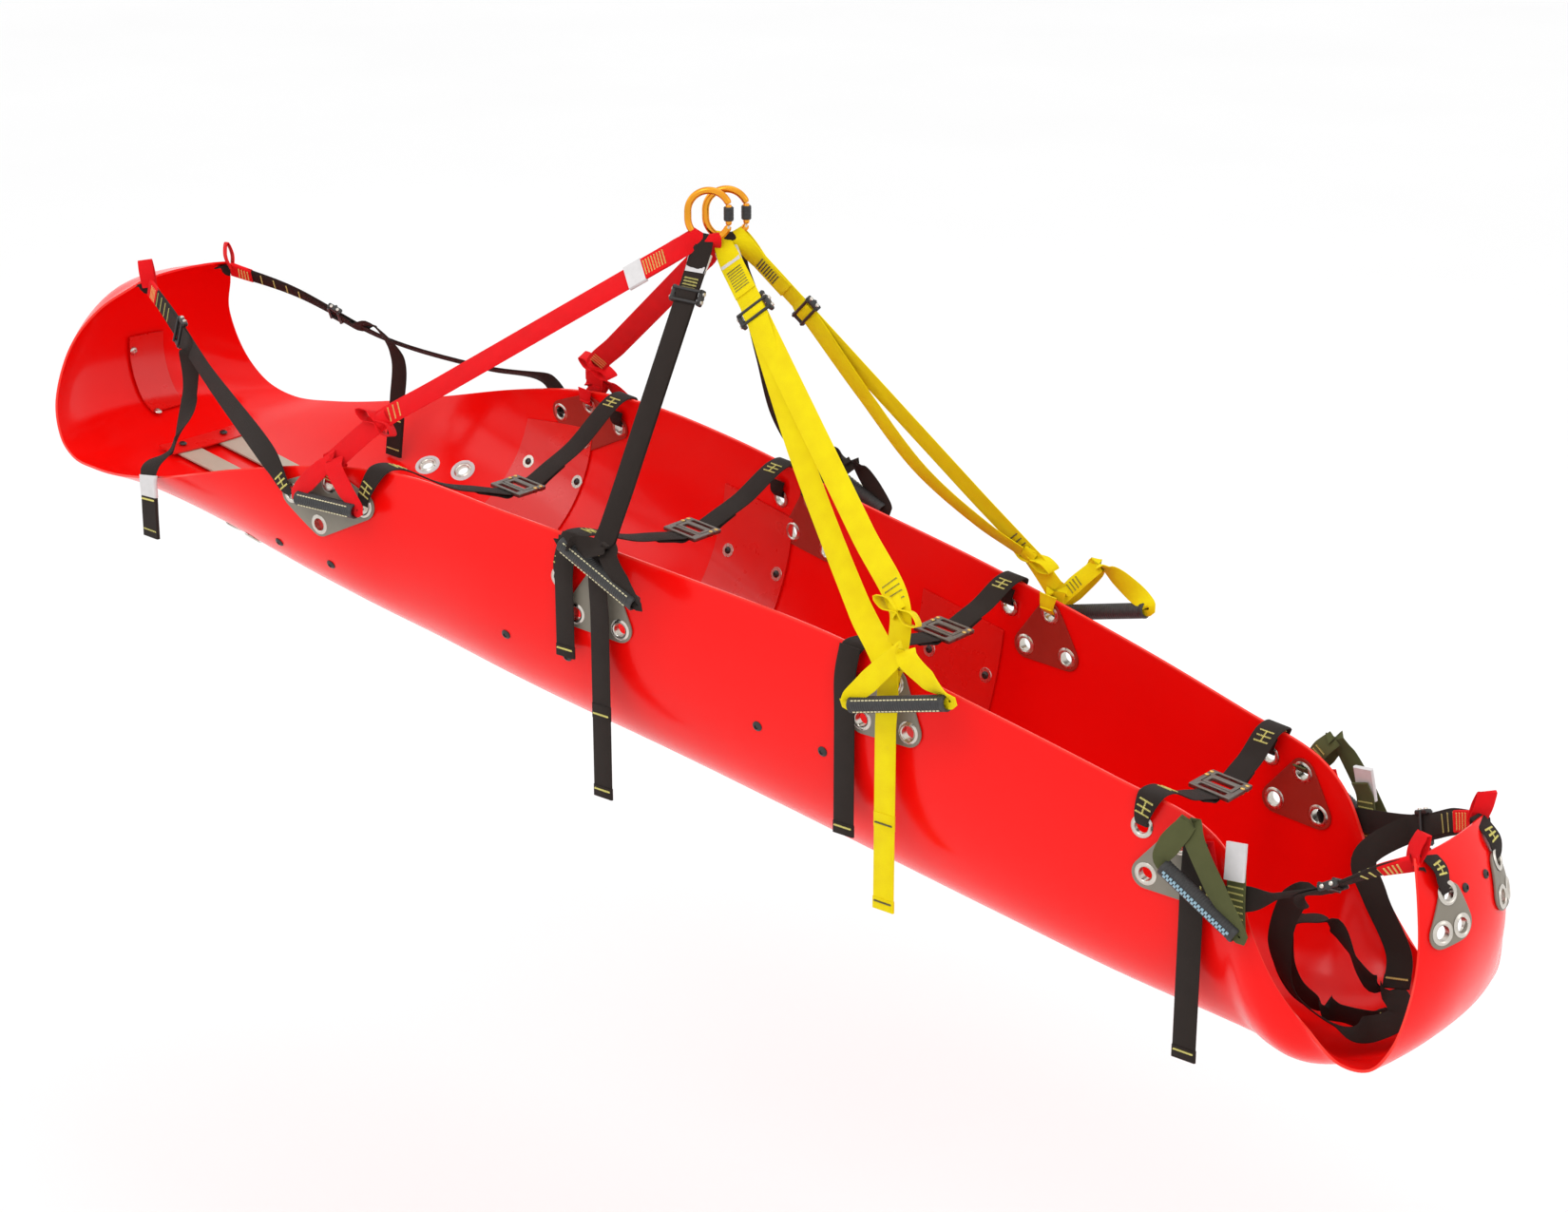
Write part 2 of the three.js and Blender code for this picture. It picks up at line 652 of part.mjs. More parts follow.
function addAdjusters() {
  for (const leg of LEGS.filter(({ adjuster }) => adjuster)) {
    const { top, knee } = legEnds(leg);
    const at = along(top, knee, leg.adjuster);
    const shape = new THREE.Shape();
    const [w, d] = [SLIDER.width / 2, SLIDER.depth / 2];
    shape.moveTo(-w, -d).lineTo(w, -d).lineTo(w, d).lineTo(-w, d);
    const [sw, sd] = [SLIDER.slotWidth / 2, SLIDER.slotDepth / 2];
    const slot = new THREE.Path();
    slot.moveTo(-sw, -sd).lineTo(-sw, sd).lineTo(sw, sd).lineTo(sw, -sd);
    shape.holes.push(slot);
    const frame = new THREE.ExtrudeGeometry(shape, { depth: SLIDER.height, bevelEnabled: false });
    frame.translate(0, 0, -SLIDER.height / 2);
    const run = knee.clone().sub(top).normalize();
    const across = X.clone().addScaledVector(run, -X.dot(run)).normalize();
    frame.applyMatrix4(new THREE.Matrix4().makeBasis(across, run.clone().cross(across), run));
    frame.translate(at.x, at.y, at.z);
    add(`adjuster_${leg.name}`, frame, "moulded");
  }
}

// ---------------------------------------------------------------- grab handles
// A webbing loop from a plate's top eyelet, arched over and down to a ribbed tube grip.
const HANDLES = {
  head: { style: "red", apex: [111, 240, 150], grip: [[66, 257, 88], [169, 256, 102]] },
  middle: { style: "black", apex: [556, 224, 172], grip: [[488, 229, 158], [607, 229, 121]] },
  footmid: { style: "yellow", apex: [957, 186, 176], grip: [[901, 196, 92], [1026, 192, 139]] },
  foot: { style: "olive", apex: [1312, 148, 97], grip: [[1294, 158, 40], [1390, 156, -3]] },
};

function gripTube(a, b) {
  const tube = new THREE.CylinderGeometry(GRIP.radius, GRIP.radius, a.distanceTo(b), GRIP.segments);
  const turn = new THREE.Quaternion().setFromUnitVectors(vec(0, 1, 0), b.clone().sub(a).normalize());
  tube.applyQuaternion(turn);
  const middle = along(a, b, 0.5);
  tube.translate(middle.x, middle.y, middle.z);
  return tube;
}

function addHandles() {
  for (const [name, { style, apex, grip }] of Object.entries(HANDLES)) {
    for (const [end, side] of Object.entries(SIDES)) {
      const [a, b] = grip.map((p) => mirror(vec(...p), side));
      const top = mirror(vec(...apex), side);
      const [x, z] = topEyelet(name);
      const root = besideWall(x, z, side, GRIP.standoff);
      const limb = (tip, inner) => strap(route([
        [top, X, 14],
        [along(top, tip, 0.5).addScaledVector(vec(0, side, 0), 5), X, 22],
        [along(tip, inner, 0.06), X, 16],
      ], 5), WEB_WIDTH, 2.4);
      const stem = strap(route([[root, X, 14], [along(root, top, 0.5), X, 18], [top, X, 14]], 4), WEB_WIDTH, 2.4);
      add(`handle_${name}_${end}`, union([gripTube(a, b), stem, limb(a, b), limb(b, a)]), style);
    }
  }
}

// ---------------------------------------------------------------- patient straps and buckles
// Each strap crosses the trough at x from a near to a far eyelet (x, z), and sags to its buckle.
const STRAPS = [
  { x: 187, buckle: 76, near: [160, 99], far: [160, 99] },
  { x: 484, buckle: 112, near: [466, 101], far: [466, 101], tail: [478, 112, 105] },
  { x: 872, buckle: 113, near: [862, 100], far: [862, 100], tail: [868, 104, 190] },
  { x: 1256, buckle: 62, near: [1247, 56], far: [1247, 60] },
];
const BUCKLE = { width: 52, arm: 6, thickness: 6, base: 16, mouth: 20, travel: 10 };

function strapHalf({ x, buckle, near, far }, end) {
  const side = SIDES[end];
  const eyelet = end === "near" ? near : far;
  const outside = besideWall(...eyelet, side, OVER_PLATE);
  const rim = rimAt((x + eyelet[0]) / 2, side, 6);
  const reach = end === "near" ? BUCKLE.base + 4 : BUCKLE.mouth + 18 + BUCKLE.travel;
  const inner = vec(x, side * reach, buckle);
  const shoulder = rim.clone().add(vec(0, -side * 14, -2));
  const half = along(shoulder, inner, 0.5).add(vec(0, 0, -0.12 * (rim.z - buckle)));
  const edge = rim.clone().add(vec(0, side * 8, -3));
  return [[outside, X, 22], [edge, X], [shoulder, X], [half, X], [inner, X]];
}

function addPatientStraps() {
  STRAPS.forEach((row, i) => {
    for (const end of Object.keys(SIDES)) {
      const places = strapHalf(row, end);
      const pieces = [strap(route(places, 14))];
      if (end === "near" && row.tail) {
        const [x, z, length] = row.tail;
        const top = besideWall(x, z, -1, OVER_PLATE + 4);
        pieces.push(strap(route([places[1], ...hang(top, length)], 6)));
      }
      add(`patient_strap_${i + 1}_${end}`, union(pieces), "black");
    }
  });
}

// A U-shaped frame on the near webbing; the tongue on the far webbing lies between its arms.
function buckleFrame() {
  const { width, arm, base, mouth } = BUCKLE;
  const w = width / 2;
  const shape = new THREE.Shape();
  shape.moveTo(-w, -base).lineTo(w, -base).lineTo(w, mouth).lineTo(w - arm, mouth);
  shape.lineTo(w - arm, 0).lineTo(-w + arm, 0).lineTo(-w + arm, mouth).lineTo(-w, mouth);
  const slot = new THREE.Path();
  slot.moveTo(-w + 9, -base + 5).lineTo(-w + 9, -4).lineTo(w - 9, -4).lineTo(w - 9, -base + 5);
  shape.holes.push(slot);
  return shape;
}

function buckleTongue() {
  const { width, arm, mouth } = BUCKLE;
  const [w, t] = [width / 2, width / 2 - arm - 0.6];
  const shape = new THREE.Shape();
  shape.moveTo(-t, 0.8).lineTo(t, 0.8).lineTo(t, mouth + 0.8).lineTo(w, mouth + 0.8);
  shape.lineTo(w, mouth + 13).lineTo(-w, mouth + 13).lineTo(-w, mouth + 0.8).lineTo(-t, mouth + 0.8);
  const slot = new THREE.Path();
  slot.moveTo(-w + 9, mouth + 3).lineTo(-w + 9, mouth + 9).lineTo(w - 9, mouth + 9).lineTo(w - 9, mouth + 3);
  shape.holes.push(slot);
  return shape;
}

function addBuckles() {
  STRAPS.forEach(({ x, buckle }, i) => {
    const parts = { frame: buckleFrame(), tongue: buckleTongue() };
    for (const [name, shape] of Object.entries(parts)) {
      const piece = new THREE.ExtrudeGeometry(shape, { depth: BUCKLE.thickness, bevelEnabled: false });
      piece.translate(0, 0, -BUCKLE.thickness / 2);
      const mesh = add(`buckle_${i + 1}_${name}`, piece, "steel");
      mesh.position.set(x, 0, buckle);
    }
  });
}

// ---------------------------------------------------------------- end straps
// Head and foot end straps: from a tip corner of the sheet over its edge (x, lift) to the end eyelet
// of a plate. The free tail leaves at a step of the route.
const END_STRAPS = [
  { name: "head_near", side: -1, corner: [-450, 72, 190], eyelet: [42, 84], rim: [8, 8], sag: 6, leaves: 3,
    tail: [[-296, 130, 86], [-238, 205, 52], [-216, 262, 40], [-208, 268, 0], [-204, 268, -50]] },
  { name: "head_far", side: 1, corner: [-450, 72, 190], eyelet: [42, 84], rim: [8, 8], sag: 22, leaves: 4,
    tail: [[-225, 134, 156], [-198, 156, 115], [-203, 164, 40], [-200, 158, -35]] },
  { name: "foot_near", side: -1, corner: [1526, 68, 106], eyelet: [1321, 12], rim: [1372, 6], sag: 8, leaves: 5,
    tail: [[1400, 66, 6], [1392, 60, -50], [1420, 45, -105], [1470, 30, -112]], plumb: [1312, 66, 250] },
  { name: "foot_far", side: 1, corner: [1526, 68, 106], eyelet: [1321, 12], rim: [1372, 6], sag: 8, leaves: 5,
    tail: [[1405, 78, 10], [1432, 62, -20], [1478, 50, -70]] },
];

// The edge's place with this x on its upper run, standing off it, and the edge's direction there.
function edgeNear(x, lift, side) {
  let best = 0;
  for (let k = 0; k <= 400; k += 1) {
    const p = edgeCurve.getPoint(k / 400);
    if (p.z > -40 && Math.abs(p.x - x) < Math.abs(edgeCurve.getPoint(best).x - x)) best = k / 400;
  }
  const p = edgeCurve.getPoint(best);
  const run = edgeCurve.getPoint(best + 0.005).sub(p);
  const away = vec(run.z, 0, -run.x).normalize().multiplyScalar(-lift);
  return { place: vec(p.x, side * (p.y + OVER_PLATE), p.z).add(away), run: vec(run.x, 0, run.z).normalize() };
}

function addEndStraps() {
  for (const { name, side, corner, eyelet, rim, sag, leaves, tail, plumb } of END_STRAPS) {
    const start = mirror(vec(...corner), side);
    const edge = edgeNear(rim[0], rim[1], side);
    const foot = besideWall(...eyelet, side, OVER_PLATE);
    const middle = along(start, edge.place, 0.5).add(vec(0, 0, -sag));
    const up = vec(0.3, 0, 1).normalize();
    const places = [[start, up, 22], [along(start, edge.place, 0.2), up], [middle, up]];
    const main = route([...places, [edge.place, edge.run], [foot, edge.run, 20]], 14);
    const free = tail.map((p) => [mirror(vec(...p), side), X]);
    const pieces = [strap(main), strap(route([[main[leaves].at, X], ...free], 12))];
    if (plumb) {
      const [x, z, length] = plumb;
      const [top, low] = [0, 55].map((drop) => besideWall(x + drop / 7, z - drop, side, OVER_PLATE + 1.5));
      pieces.push(strap(route([[top, X], ...hang(low, length - 55)], 8)));
    }
    add(`end_strap_${name}`, union(pieces), "black");
  }
}

addShell();
addBands();
addBattens();
addSidePlates();
addFlapPlates();
addKarabiners();
addLegs();
addAdjusters();
addHandles();
addPatientStraps();
addBuckles();
addEndStraps();

const stretcher = new THREE.Group();
body.position.copy(LIFT).negate();
stretcher.add(body);
stretcher.rotation.y = PITCH;
stretcher.updateMatrixWorld(true);

export default stretcher;
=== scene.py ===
"""The looks of a wrap-around rescue stretcher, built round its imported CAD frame.

Pieces are drawn in the body's own frame: millimetres, +X to the feet, -Y the near side, z = 0 at the
band bolts. to_world() pitches them head-up, as the stretcher hangs, and gives metres in the row frame.
"""

import math

import bmesh
import bpy
import numpy as np
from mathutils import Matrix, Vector, kdtree


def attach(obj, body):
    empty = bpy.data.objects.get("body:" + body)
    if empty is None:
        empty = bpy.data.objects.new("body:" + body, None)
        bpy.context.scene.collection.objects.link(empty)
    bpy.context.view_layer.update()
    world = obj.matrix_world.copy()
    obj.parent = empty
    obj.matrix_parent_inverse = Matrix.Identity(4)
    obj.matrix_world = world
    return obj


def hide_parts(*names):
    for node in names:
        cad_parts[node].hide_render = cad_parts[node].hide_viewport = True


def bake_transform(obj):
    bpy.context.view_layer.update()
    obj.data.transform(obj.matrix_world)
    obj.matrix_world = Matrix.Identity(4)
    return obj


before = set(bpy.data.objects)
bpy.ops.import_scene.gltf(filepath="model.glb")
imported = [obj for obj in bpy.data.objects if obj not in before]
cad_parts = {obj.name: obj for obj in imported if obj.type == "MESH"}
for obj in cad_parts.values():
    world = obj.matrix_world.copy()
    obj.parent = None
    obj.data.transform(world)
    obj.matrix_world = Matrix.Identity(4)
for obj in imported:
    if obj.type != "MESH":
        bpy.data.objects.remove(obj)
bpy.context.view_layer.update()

# ------------------------------------------------------------------ driving dimensions, in mm
ROOT = "stretcher"
PITCH = math.radians(6.2)
LIFT = np.array([491.0, 0.0, 540.0])  # lifting point in the body's frame
SHEET = 3.0
PLATE = 2.5
PLATE_LIFT = 0.8
BACKING = 2.0
PLATE_MARGIN = 17.0
WEB = 1.8
WEB_WIDTH = 29.0
HOLE = 8.0  # eyelets' inner radius
RIM = 13.0  # eyelets' outer radius
OUTSIDE = SHEET / 2 + PLATE_LIFT + PLATE  # height of a plate's outer face off the sheet's middle
INSIDE = SHEET / 2 + 0.4 + BACKING  # depth of a backing plate's inner face
OVER_PLATE = OUTSIDE + 1.6 + WEB + 0.6
SIDES = {"near": -1, "far": 1}
X = np.array([1.0, 0.0, 0.0])
Y = np.array([0.0, 1.0, 0.0])
DOWN = np.array([math.sin(PITCH), 0.0, -math.cos(PITCH)])

# Stations, hood tip to flap tip: keel x, keel z, edge x, edge y, edge z.
STATIONS = np.array([
    [-462, 201, -461, 78, 196],
    [-530, 174, -504, 117, 151],
    [-576, 112, -535, 142, 93],
    [-586, 38, -531, 170, 22],
    [-556, -22, -499, 187, -18],
    [-500, -44, -455, 200, -31],
    [-420, -52, -390, 216, -23],
    [-320, -58, -310, 236, -4],
    [-195, -68, -194, 256, 34],
    [-62, -84, -62, 249, 84],
    [75, -100, 75, 231, 127],
    [210, -116, 210, 214, 152],
    [375, -130, 375, 204, 154],
    [600, -146, 600, 175, 148],
    [825, -162, 825, 152, 141],
    [1050, -173, 1050, 139, 119],
    [1210, -180, 1205, 127, 99],
    [1330, -179, 1310, 119, 83],
    [1390, -177, 1352, 117, 55],
    [1430, -175, 1387, 123, -6],
    [1464, -169, 1422, 122, -55],
    [1494, -156, 1466, 118, -93],
    [1522, -138, 1509, 118, -117],
    [1550, -114, 1543, 117, -110],
    [1572, -84, 1561, 112, -77],
    [1586, -28, 1565, 99, -21],
    [1585, 27, 1561, 93, 25],
    [1566, 78, 1548, 86, 72],
    [1537, 119, 1530, 75, 116],
], dtype=float)
LAST = len(STATIONS) - 1
KEEL = np.column_stack([STATIONS[:, 0], 0 * STATIONS[:, 0], STATIONS[:, 1]])
EDGE = STATIONS[:, 2:5]


def vec(x, y, z):
    return np.array([x, y, z], dtype=float)


def unit(v):
    return v / np.linalg.norm(v)


def mirror(p, side):
    return np.asarray(p, dtype=float) * [1, side, 1]


def along(p, q, k):
    return p + (q - p) * k


def to_world(points):
    """Body frame in mm to row frame in m."""
    c, s = math.cos(PITCH), math.sin(PITCH)
    x, y, z = (np.asarray(points, dtype=float) - LIFT).T
    return np.column_stack([c * x + s * z, y, -s * x + c * z]) / 1000


# ------------------------------------------------------------------ camera
def add_camera():
    data = bpy.data.cameras.new("camera")
    data.lens = 67.64
    data.sensor_width = 36
    camera = bpy.data.objects.new("camera", data)
    camera.location = (2.2313, -2.5563, 0.6933)
    back = Vector((0.6035, -0.7240, 0.3342))
    camera.rotation_euler = back.to_track_quat("Z", "Y").to_euler()
    bpy.context.collection.objects.link(camera)
    bpy.context.scene.camera = camera


# ------------------------------------------------------------------ the sheet's surface
def catmull(points, s):
    """Centripetal Catmull-Rom through the points, s from 0 to 1 evenly by point."""
    last = len(points) - 1
    u = min(max(s, 0.0), 1.0) * last
    i = min(int(u), last - 1)
    w = u - i
    p1, p2 = points[i], points[i + 1]
    p0 = points[i - 1] if i > 0 else 2 * points[0] - points[1]
    p3 = points[i + 2] if i + 2 <= last else 2 * points[last] - points[last - 1]
    d0, d1, d2 = (max(float(np.dot(a - b, a - b)) ** 0.25, 1e-4) for a, b in ((p0, p1), (p1, p2), (p2, p3)))
    t1 = ((p1 - p0) / d0 - (p2 - p0) / (d0 + d1) + (p2 - p1) / d1) * d1
    t2 = ((p2 - p1) / d1 - (p3 - p1) / (d1 + d2) + (p3 - p2) / d2) * d1
    return p1 + t1 * w + (3 * (p2 - p1) - 2 * t1 - t2) * w**2 + (2 * (p1 - p2) + t1 + t2) * w**3


def smoothstep(x):
    x = min(max(x, 0.0), 1.0)
    return x * x * (3 - 2 * x)


def section(s):
    """The four control points of the far half of the sheet's section at s."""
    keel, edge = catmull(KEEL, s), catmull(EDGE, s)
    run = unit(catmull(KEEL, min(1, s + 0.002)) - catmull(KEEL, max(0, s - 0.002)))
    inward = vec(-run[2], 0, run[0])
    height = float(np.dot(edge - keel, inward))
    depth = smoothstep(height / edge[1] / 1.2)
    floor = keel + vec(0, edge[1] * (0.5 + 0.3 * depth), 0)
    wall = edge - 0.6 * height * inward + vec(0, edge[1] * (-0.33 + 0.57 * depth), 0)
    return keel, floor, wall, edge


def surface(rows, columns):
    """Middle of the sheet, and its unit normal out of the trough, on a grid of s and t."""
    k = np.abs(columns)[:, None]
    sides = np.column_stack([np.ones_like(columns), np.where(columns < 0, -1, 1), np.ones_like(columns)])
    points = []
    for s in rows:
        a, b, c, d = section(s)
        curve = (1 - k) ** 3 * a + 3 * (1 - k) ** 2 * k * b + 3 * (1 - k) * k * k * c + k**3 * d
        points.append(curve * sides)
    points = np.array(points)
    normals = np.cross(np.gradient(points, axis=1), np.gradient(points, axis=0))
    return points, normals / np.linalg.norm(normals, axis=2, keepdims=True)


GRID_S = np.linspace(0, 1, 12 * LAST + 1)
GRID_T = np.linspace(-1, 1, 97)
GRID, GRID_NORMALS = surface(GRID_S, GRID_T)
FLAT_GRID = GRID.reshape(-1, 3)
FLAT_NORMALS = GRID_NORMALS.reshape(-1, 3)
TREE = kdtree.KDTree(len(FLAT_GRID))
for number, place in enumerate(FLAT_GRID):
    TREE.insert(place, number)
TREE.balance()


def foot(p):
    """The nearest point of the sheet's middle, and the normal there."""
    found = TREE.find_n(p, 5)
    weights = np.array([1 / (distance**2 + 4) for _, _, distance in found])
    weights /= weights.sum()
    normal = unit(sum(w * FLAT_NORMALS[i] for w, (_, i, _) in zip(weights, found)))
    offset = sum(w * np.dot(p - FLAT_GRID[i], FLAT_NORMALS[i]) for w, (_, i, _) in zip(weights, found))
    return p - offset * normal, normal


def on_wall(x, z, side):
    y = 200.0
    for _ in range(4):
        point, normal = foot(vec(x, y * side, z))
        y = abs(point[1])
    return point, normal


def beside(x, z, side, lift):
    """A point off the outside of the side wall, or off its inside with a negative lift."""
    point, normal = on_wall(x, z, side)
    return point + normal * lift


def place_along(x, curve=KEEL, low=3, high=20):
    low, high = low / LAST, high / LAST
    for _ in range(40):
        middle = (low + high) / 2
        if catmull(curve, middle)[0] < x:
            low = middle
        else:
            high = middle
    return low


def rim_at(x, side, lift=0.0):
    return mirror(catmull(EDGE, place_along(x, EDGE, 9, 18)), side) + vec(0, 0, lift)


# ------------------------------------------------------------------ materials
class Shader:
    """A material with one Principled shader, and short calls to add and join nodes."""

    def __init__(self, name, colour, roughness, metallic=0.0, **sockets):
        self.material = bpy.data.materials.new(name)
        self.material.use_nodes = True
        self.tree = self.material.node_tree
        self.bsdf = self.tree.nodes["Principled BSDF"]
        self.bsdf.inputs["Base Color"].default_value = (*colour, 1)
        self.bsdf.inputs["Roughness"].default_value = roughness
        self.bsdf.inputs["Metallic"].default_value = metallic
        for socket, value in sockets.items():
            self.bsdf.inputs[socket.replace("_", " ")].default_value = value

    def node(self, kind, inputs=None, **settings):
        node = self.tree.nodes.new("ShaderNode" + kind)
        for key, value in settings.items():
            setattr(node, key, value)
        for key, value in (inputs or {}).items():
            if isinstance(value, bpy.types.NodeSocket):
                self.tree.links.new(value, node.inputs[key])
            else:
                node.inputs[key].default_value = value
        return node

    def math(self, operation, a, b=0.0, c=0.0):
        return self.node("Math", {0: a, 1: b, 2: c}, operation=operation).outputs[0]

    def noise(self, scale, detail=4.0, stretch=(1, 1, 1)):
        place = self.node("TexCoord").outputs["Object"]
        if stretch != (1, 1, 1):
            place = self.node("Mapping", {"Vector": place, "Scale": stretch}).outputs[0]
        return self.node("TexNoise", {"Vector": place, "Scale": scale, "Detail": detail}).outputs["Fac"]

    def mix(self, factor, a, b):
        node = self.node("Mix", data_type="RGBA")
        self.tree.links.new(factor, node.inputs[0])
        for socket, value in ((node.inputs[6], a), (node.inputs[7], b)):
            if isinstance(value, bpy.types.NodeSocket):
                self.tree.links.new(value, socket)
            else:
                socket.default_value = (*value, 1)
        return node.outputs[2]

    def span(self, value, low, high, new_low, new_high):
        inputs = {"Value": value, "From Min": low, "From Max": high, "To Min": new_low, "To Max": new_high}
        return self.node("MapRange", inputs).outputs[0]

    def drive(self, socket, value):
        self.tree.links.new(value, self.bsdf.inputs[socket])

    def bump(self, height, distance, strength=1.0):
        node = self.node("Bump", {"Height": height, "Distance": distance, "Strength": strength})
        self.drive("Normal", node.outputs[0])


def shade(colour, factor):
    return tuple(min(1.0, c * factor) for c in colour)


def mottled(name, colour, roughness, spread=0.15, scale=30, grain=0.0, metallic=0.0, **sockets):
    """Colour and roughness that drift in soft patches, with a fine moulded grain."""
    shader = Shader(name, colour, roughness, metallic, **sockets)
    patches = shader.noise(scale)
    shader.drive("Base Color", shader.mix(patches, shade(colour, 1 - spread), shade(colour, 1 + spread)))
    smooth, rough = roughness * 0.8, roughness * 1.25
    shader.drive("Roughness", shader.span(shader.noise(scale * 3), 0.3, 0.7, smooth, rough))
    if grain:
        shader.bump(shader.noise(1800, 2.0), grain, 0.5)
    return shader.material


def sheet_plastic():
    """Gloss red polyethylene: long soft ripples, fine scuffs along it, and a painted highlight along the rim,
    where the cut edge is painted a paler red.
    """
    red = (0.88, 0.003, 0.002)
    shader = Shader("sheet_plastic", red, 0.24, Coat_Weight=0.04, Coat_Roughness=0.1, Specular_IOR_Level=0.2)
    place = shader.node("UVMap", uv_map="sheet").outputs[0]
    across = shader.node("SeparateXYZ", {0: place}).outputs[1]
    # painted highlight: a paler red painted along the rim stands in for the bright line of light on the cut
    # edge
    edge = shader.span(shader.math("ABSOLUTE", across), 0.993, 0.999, 0.0, 0.6)
    body = shader.mix(shader.noise(5.0), shade(red, 0.93), shade(red, 1.06))
    shader.drive("Base Color", shader.mix(edge, body, (0.9, 0.06, 0.04)))
    scuffs = shader.noise(60, 6.0, (0.25, 1, 1))
    shader.drive("Roughness", shader.span(scuffs, 0.35, 0.75, 0.19, 0.27))
    ripples = shader.math("MULTIPLY_ADD", shader.noise(900, 2.0), 0.02, shader.noise(7.0, 1.0))
    shader.bump(ripples, 0.0009, 0.5)
    return shader.material


def webbing(name, colour):
    """Plain-woven webbing: ribs across, a fine twill along, firm selvedges, painted shade in the grooves
    between the threads with the high threads painted lighter, and random worn patches.
    """
    shader = Shader(name, colour, 0.78, Sheen_Weight=0.03, Sheen_Roughness=0.5, Specular_IOR_Level=0.14)
    place = shader.node("SeparateXYZ", {0: shader.node("UVMap", uv_map="weave").outputs[0]})
    u, v = place.outputs[0], place.outputs[1]
    warp = shader.math("MULTIPLY", v, 2 * math.pi / 0.11)
    shift = shader.math("MULTIPLY", shader.math("SIGN", shader.math("SINE", warp)), math.pi / 2)
    weft = shader.math("ADD", shader.math("MULTIPLY", u, 2 * math.pi / 0.16), shift)
    ribs = shader.span(shader.math("SINE", weft), -1.0, 1.0, 0.0, 1.0)
    rows = shader.math("ABSOLUTE", shader.math("SINE", warp))
    weave = shader.math("MULTIPLY", ribs, rows)
    wear = shader.noise(45, 5.0)
    # painted shade: the grooves between the threads are painted darker and the thread tops lighter, following
    # the weave's relief; the wear noise adds random patches
    weave_shade_and_wear = shader.math("MULTIPLY_ADD", weave, 0.6, shader.math("MULTIPLY", wear, 0.5))
    shader.drive("Base Color", shader.mix(weave_shade_and_wear, shade(colour, 0.72), shade(colour, 1.3)))
    shader.bump(weave, 0.00035, 0.7)
    return shader.material


def threads(name, colour):
    shader = Shader(name, colour, 0.6, Sheen_Weight=0.3)
    twist = shader.noise(2500, 2.0)
    shader.drive("Base Color", shader.mix(twist, shade(colour, 0.7), shade(colour, 1.15)))
    shader.bump(twist, 0.0002, 0.6)
    return shader.material


def metal(name, colour, roughness, scratches=0.35):
    """Bare or anodised metal with fine drawn scratches and dulled patches."""
    shader = Shader(name, colour, roughness, 1.0)
    drawn = shader.noise(350, 5.0, (1, 1, 0.15))
    shader.drive("Base Color", shader.mix(shader.noise(60), shade(colour, 0.82), shade(colour, 1.1)))
    shader.drive("Roughness", shader.span(drawn, 0.3, 0.7, roughness * 0.7, roughness * (1 + 2 * scratches)))
    shader.bump(drawn, 0.00008, scratches)
    return shader.material


MATERIALS = {
    "sheet": sheet_plastic(),
    "inner": mottled("inner_red", (0.72, 0.008, 0.005), 0.3, 0.08, 8, Coat_Weight=0.15),
    "batten": mottled("batten_grey", (0.47, 0.42, 0.33), 0.45, 0.1, 20, 0.0002),
    "plate": mottled("plate_grey", (0.21, 0.185, 0.145), 0.5, 0.14, 35, 0.0002),
    "backing": mottled("backing_brick", (0.33, 0.022, 0.012), 0.42, 0.12, 30, 0.0002),
    "steel": metal("eyelet_steel", (0.62, 0.58, 0.52), 0.25),
    "gold": metal("anodised_gold", (0.83, 0.34, 0.03), 0.24),
    "grey_metal": metal("buckle_grey", (0.2, 0.18, 0.16), 0.36),
    "brass": metal("brass_tip", (0.75, 0.5, 0.16), 0.3),
    "black": mottled("moulded_black", (0.02, 0.018, 0.017), 0.42, 0.2, 60, 0.0002),
    "rubber": mottled("grip_rubber", (0.028, 0.027, 0.027), 0.55, 0.2, 80, 0.0003),
    "tag": mottled("tag_film", (0.62, 0.6, 0.6), 0.35, 0.14, 90, 0.0002),
    "web_black": webbing("webbing_black", (0.025, 0.0175, 0.0145)),
    "web_red": webbing("webbing_red", (0.8, 0.004, 0.008)),
    "web_yellow": webbing("webbing_yellow", (1.0, 0.68, 0.001)),
    "web_olive": webbing("webbing_olive", (0.09, 0.095, 0.035)),
    "thread_yellow": threads("thread_yellow", (0.8, 0.72, 0.2)),
    "thread_pale": threads("thread_pale", (0.75, 0.68, 0.42)),
    "thread_black": threads("thread_black", (0.05, 0.04, 0.03)),
    "thread_blue": threads("thread_blue", (0.28, 0.45, 0.55)),
}


def new_object(name, form, material, sharp, uv_name="weave"):
    """An object from a form (points in mm, faces, and a uv pair for each point or None)."""
    points, faces, uvs = form
    mesh = bpy.data.meshes.new(name)
    mesh.from_pydata([tuple(p) for p in to_world(points)], [], faces)
    if uvs is not None:
        layer = mesh.uv_layers.new(name=uv_name)
        corners = np.zeros(len(mesh.loops), dtype=np.int32)
        mesh.loops.foreach_get("vertex_index", corners)
        layer.data.foreach_set("uv", np.asarray(uvs, dtype=np.float32)[corners].ravel())
    mesh.materials.append(MATERIALS[material])
    gathered = bmesh.new()
    gathered.from_mesh(mesh)
    bmesh.ops.recalc_face_normals(gathered, faces=gathered.faces)
    gathered.to_mesh(mesh)
    gathered.free()
    mesh.shade_smooth()
    mesh.set_sharp_from_angle(angle=math.radians(sharp))
    piece = bpy.data.objects.new(name, mesh)
    bpy.context.collection.objects.link(piece)
    return piece


def add_piece(name, form, material, body=ROOT, sharp=38, uv_name="weave", stands_for=()):
    piece = new_object(name, form, material, sharp, uv_name)
    if body:
        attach(piece, body)
    if stands_for:
        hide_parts(*stands_for)
    return piece


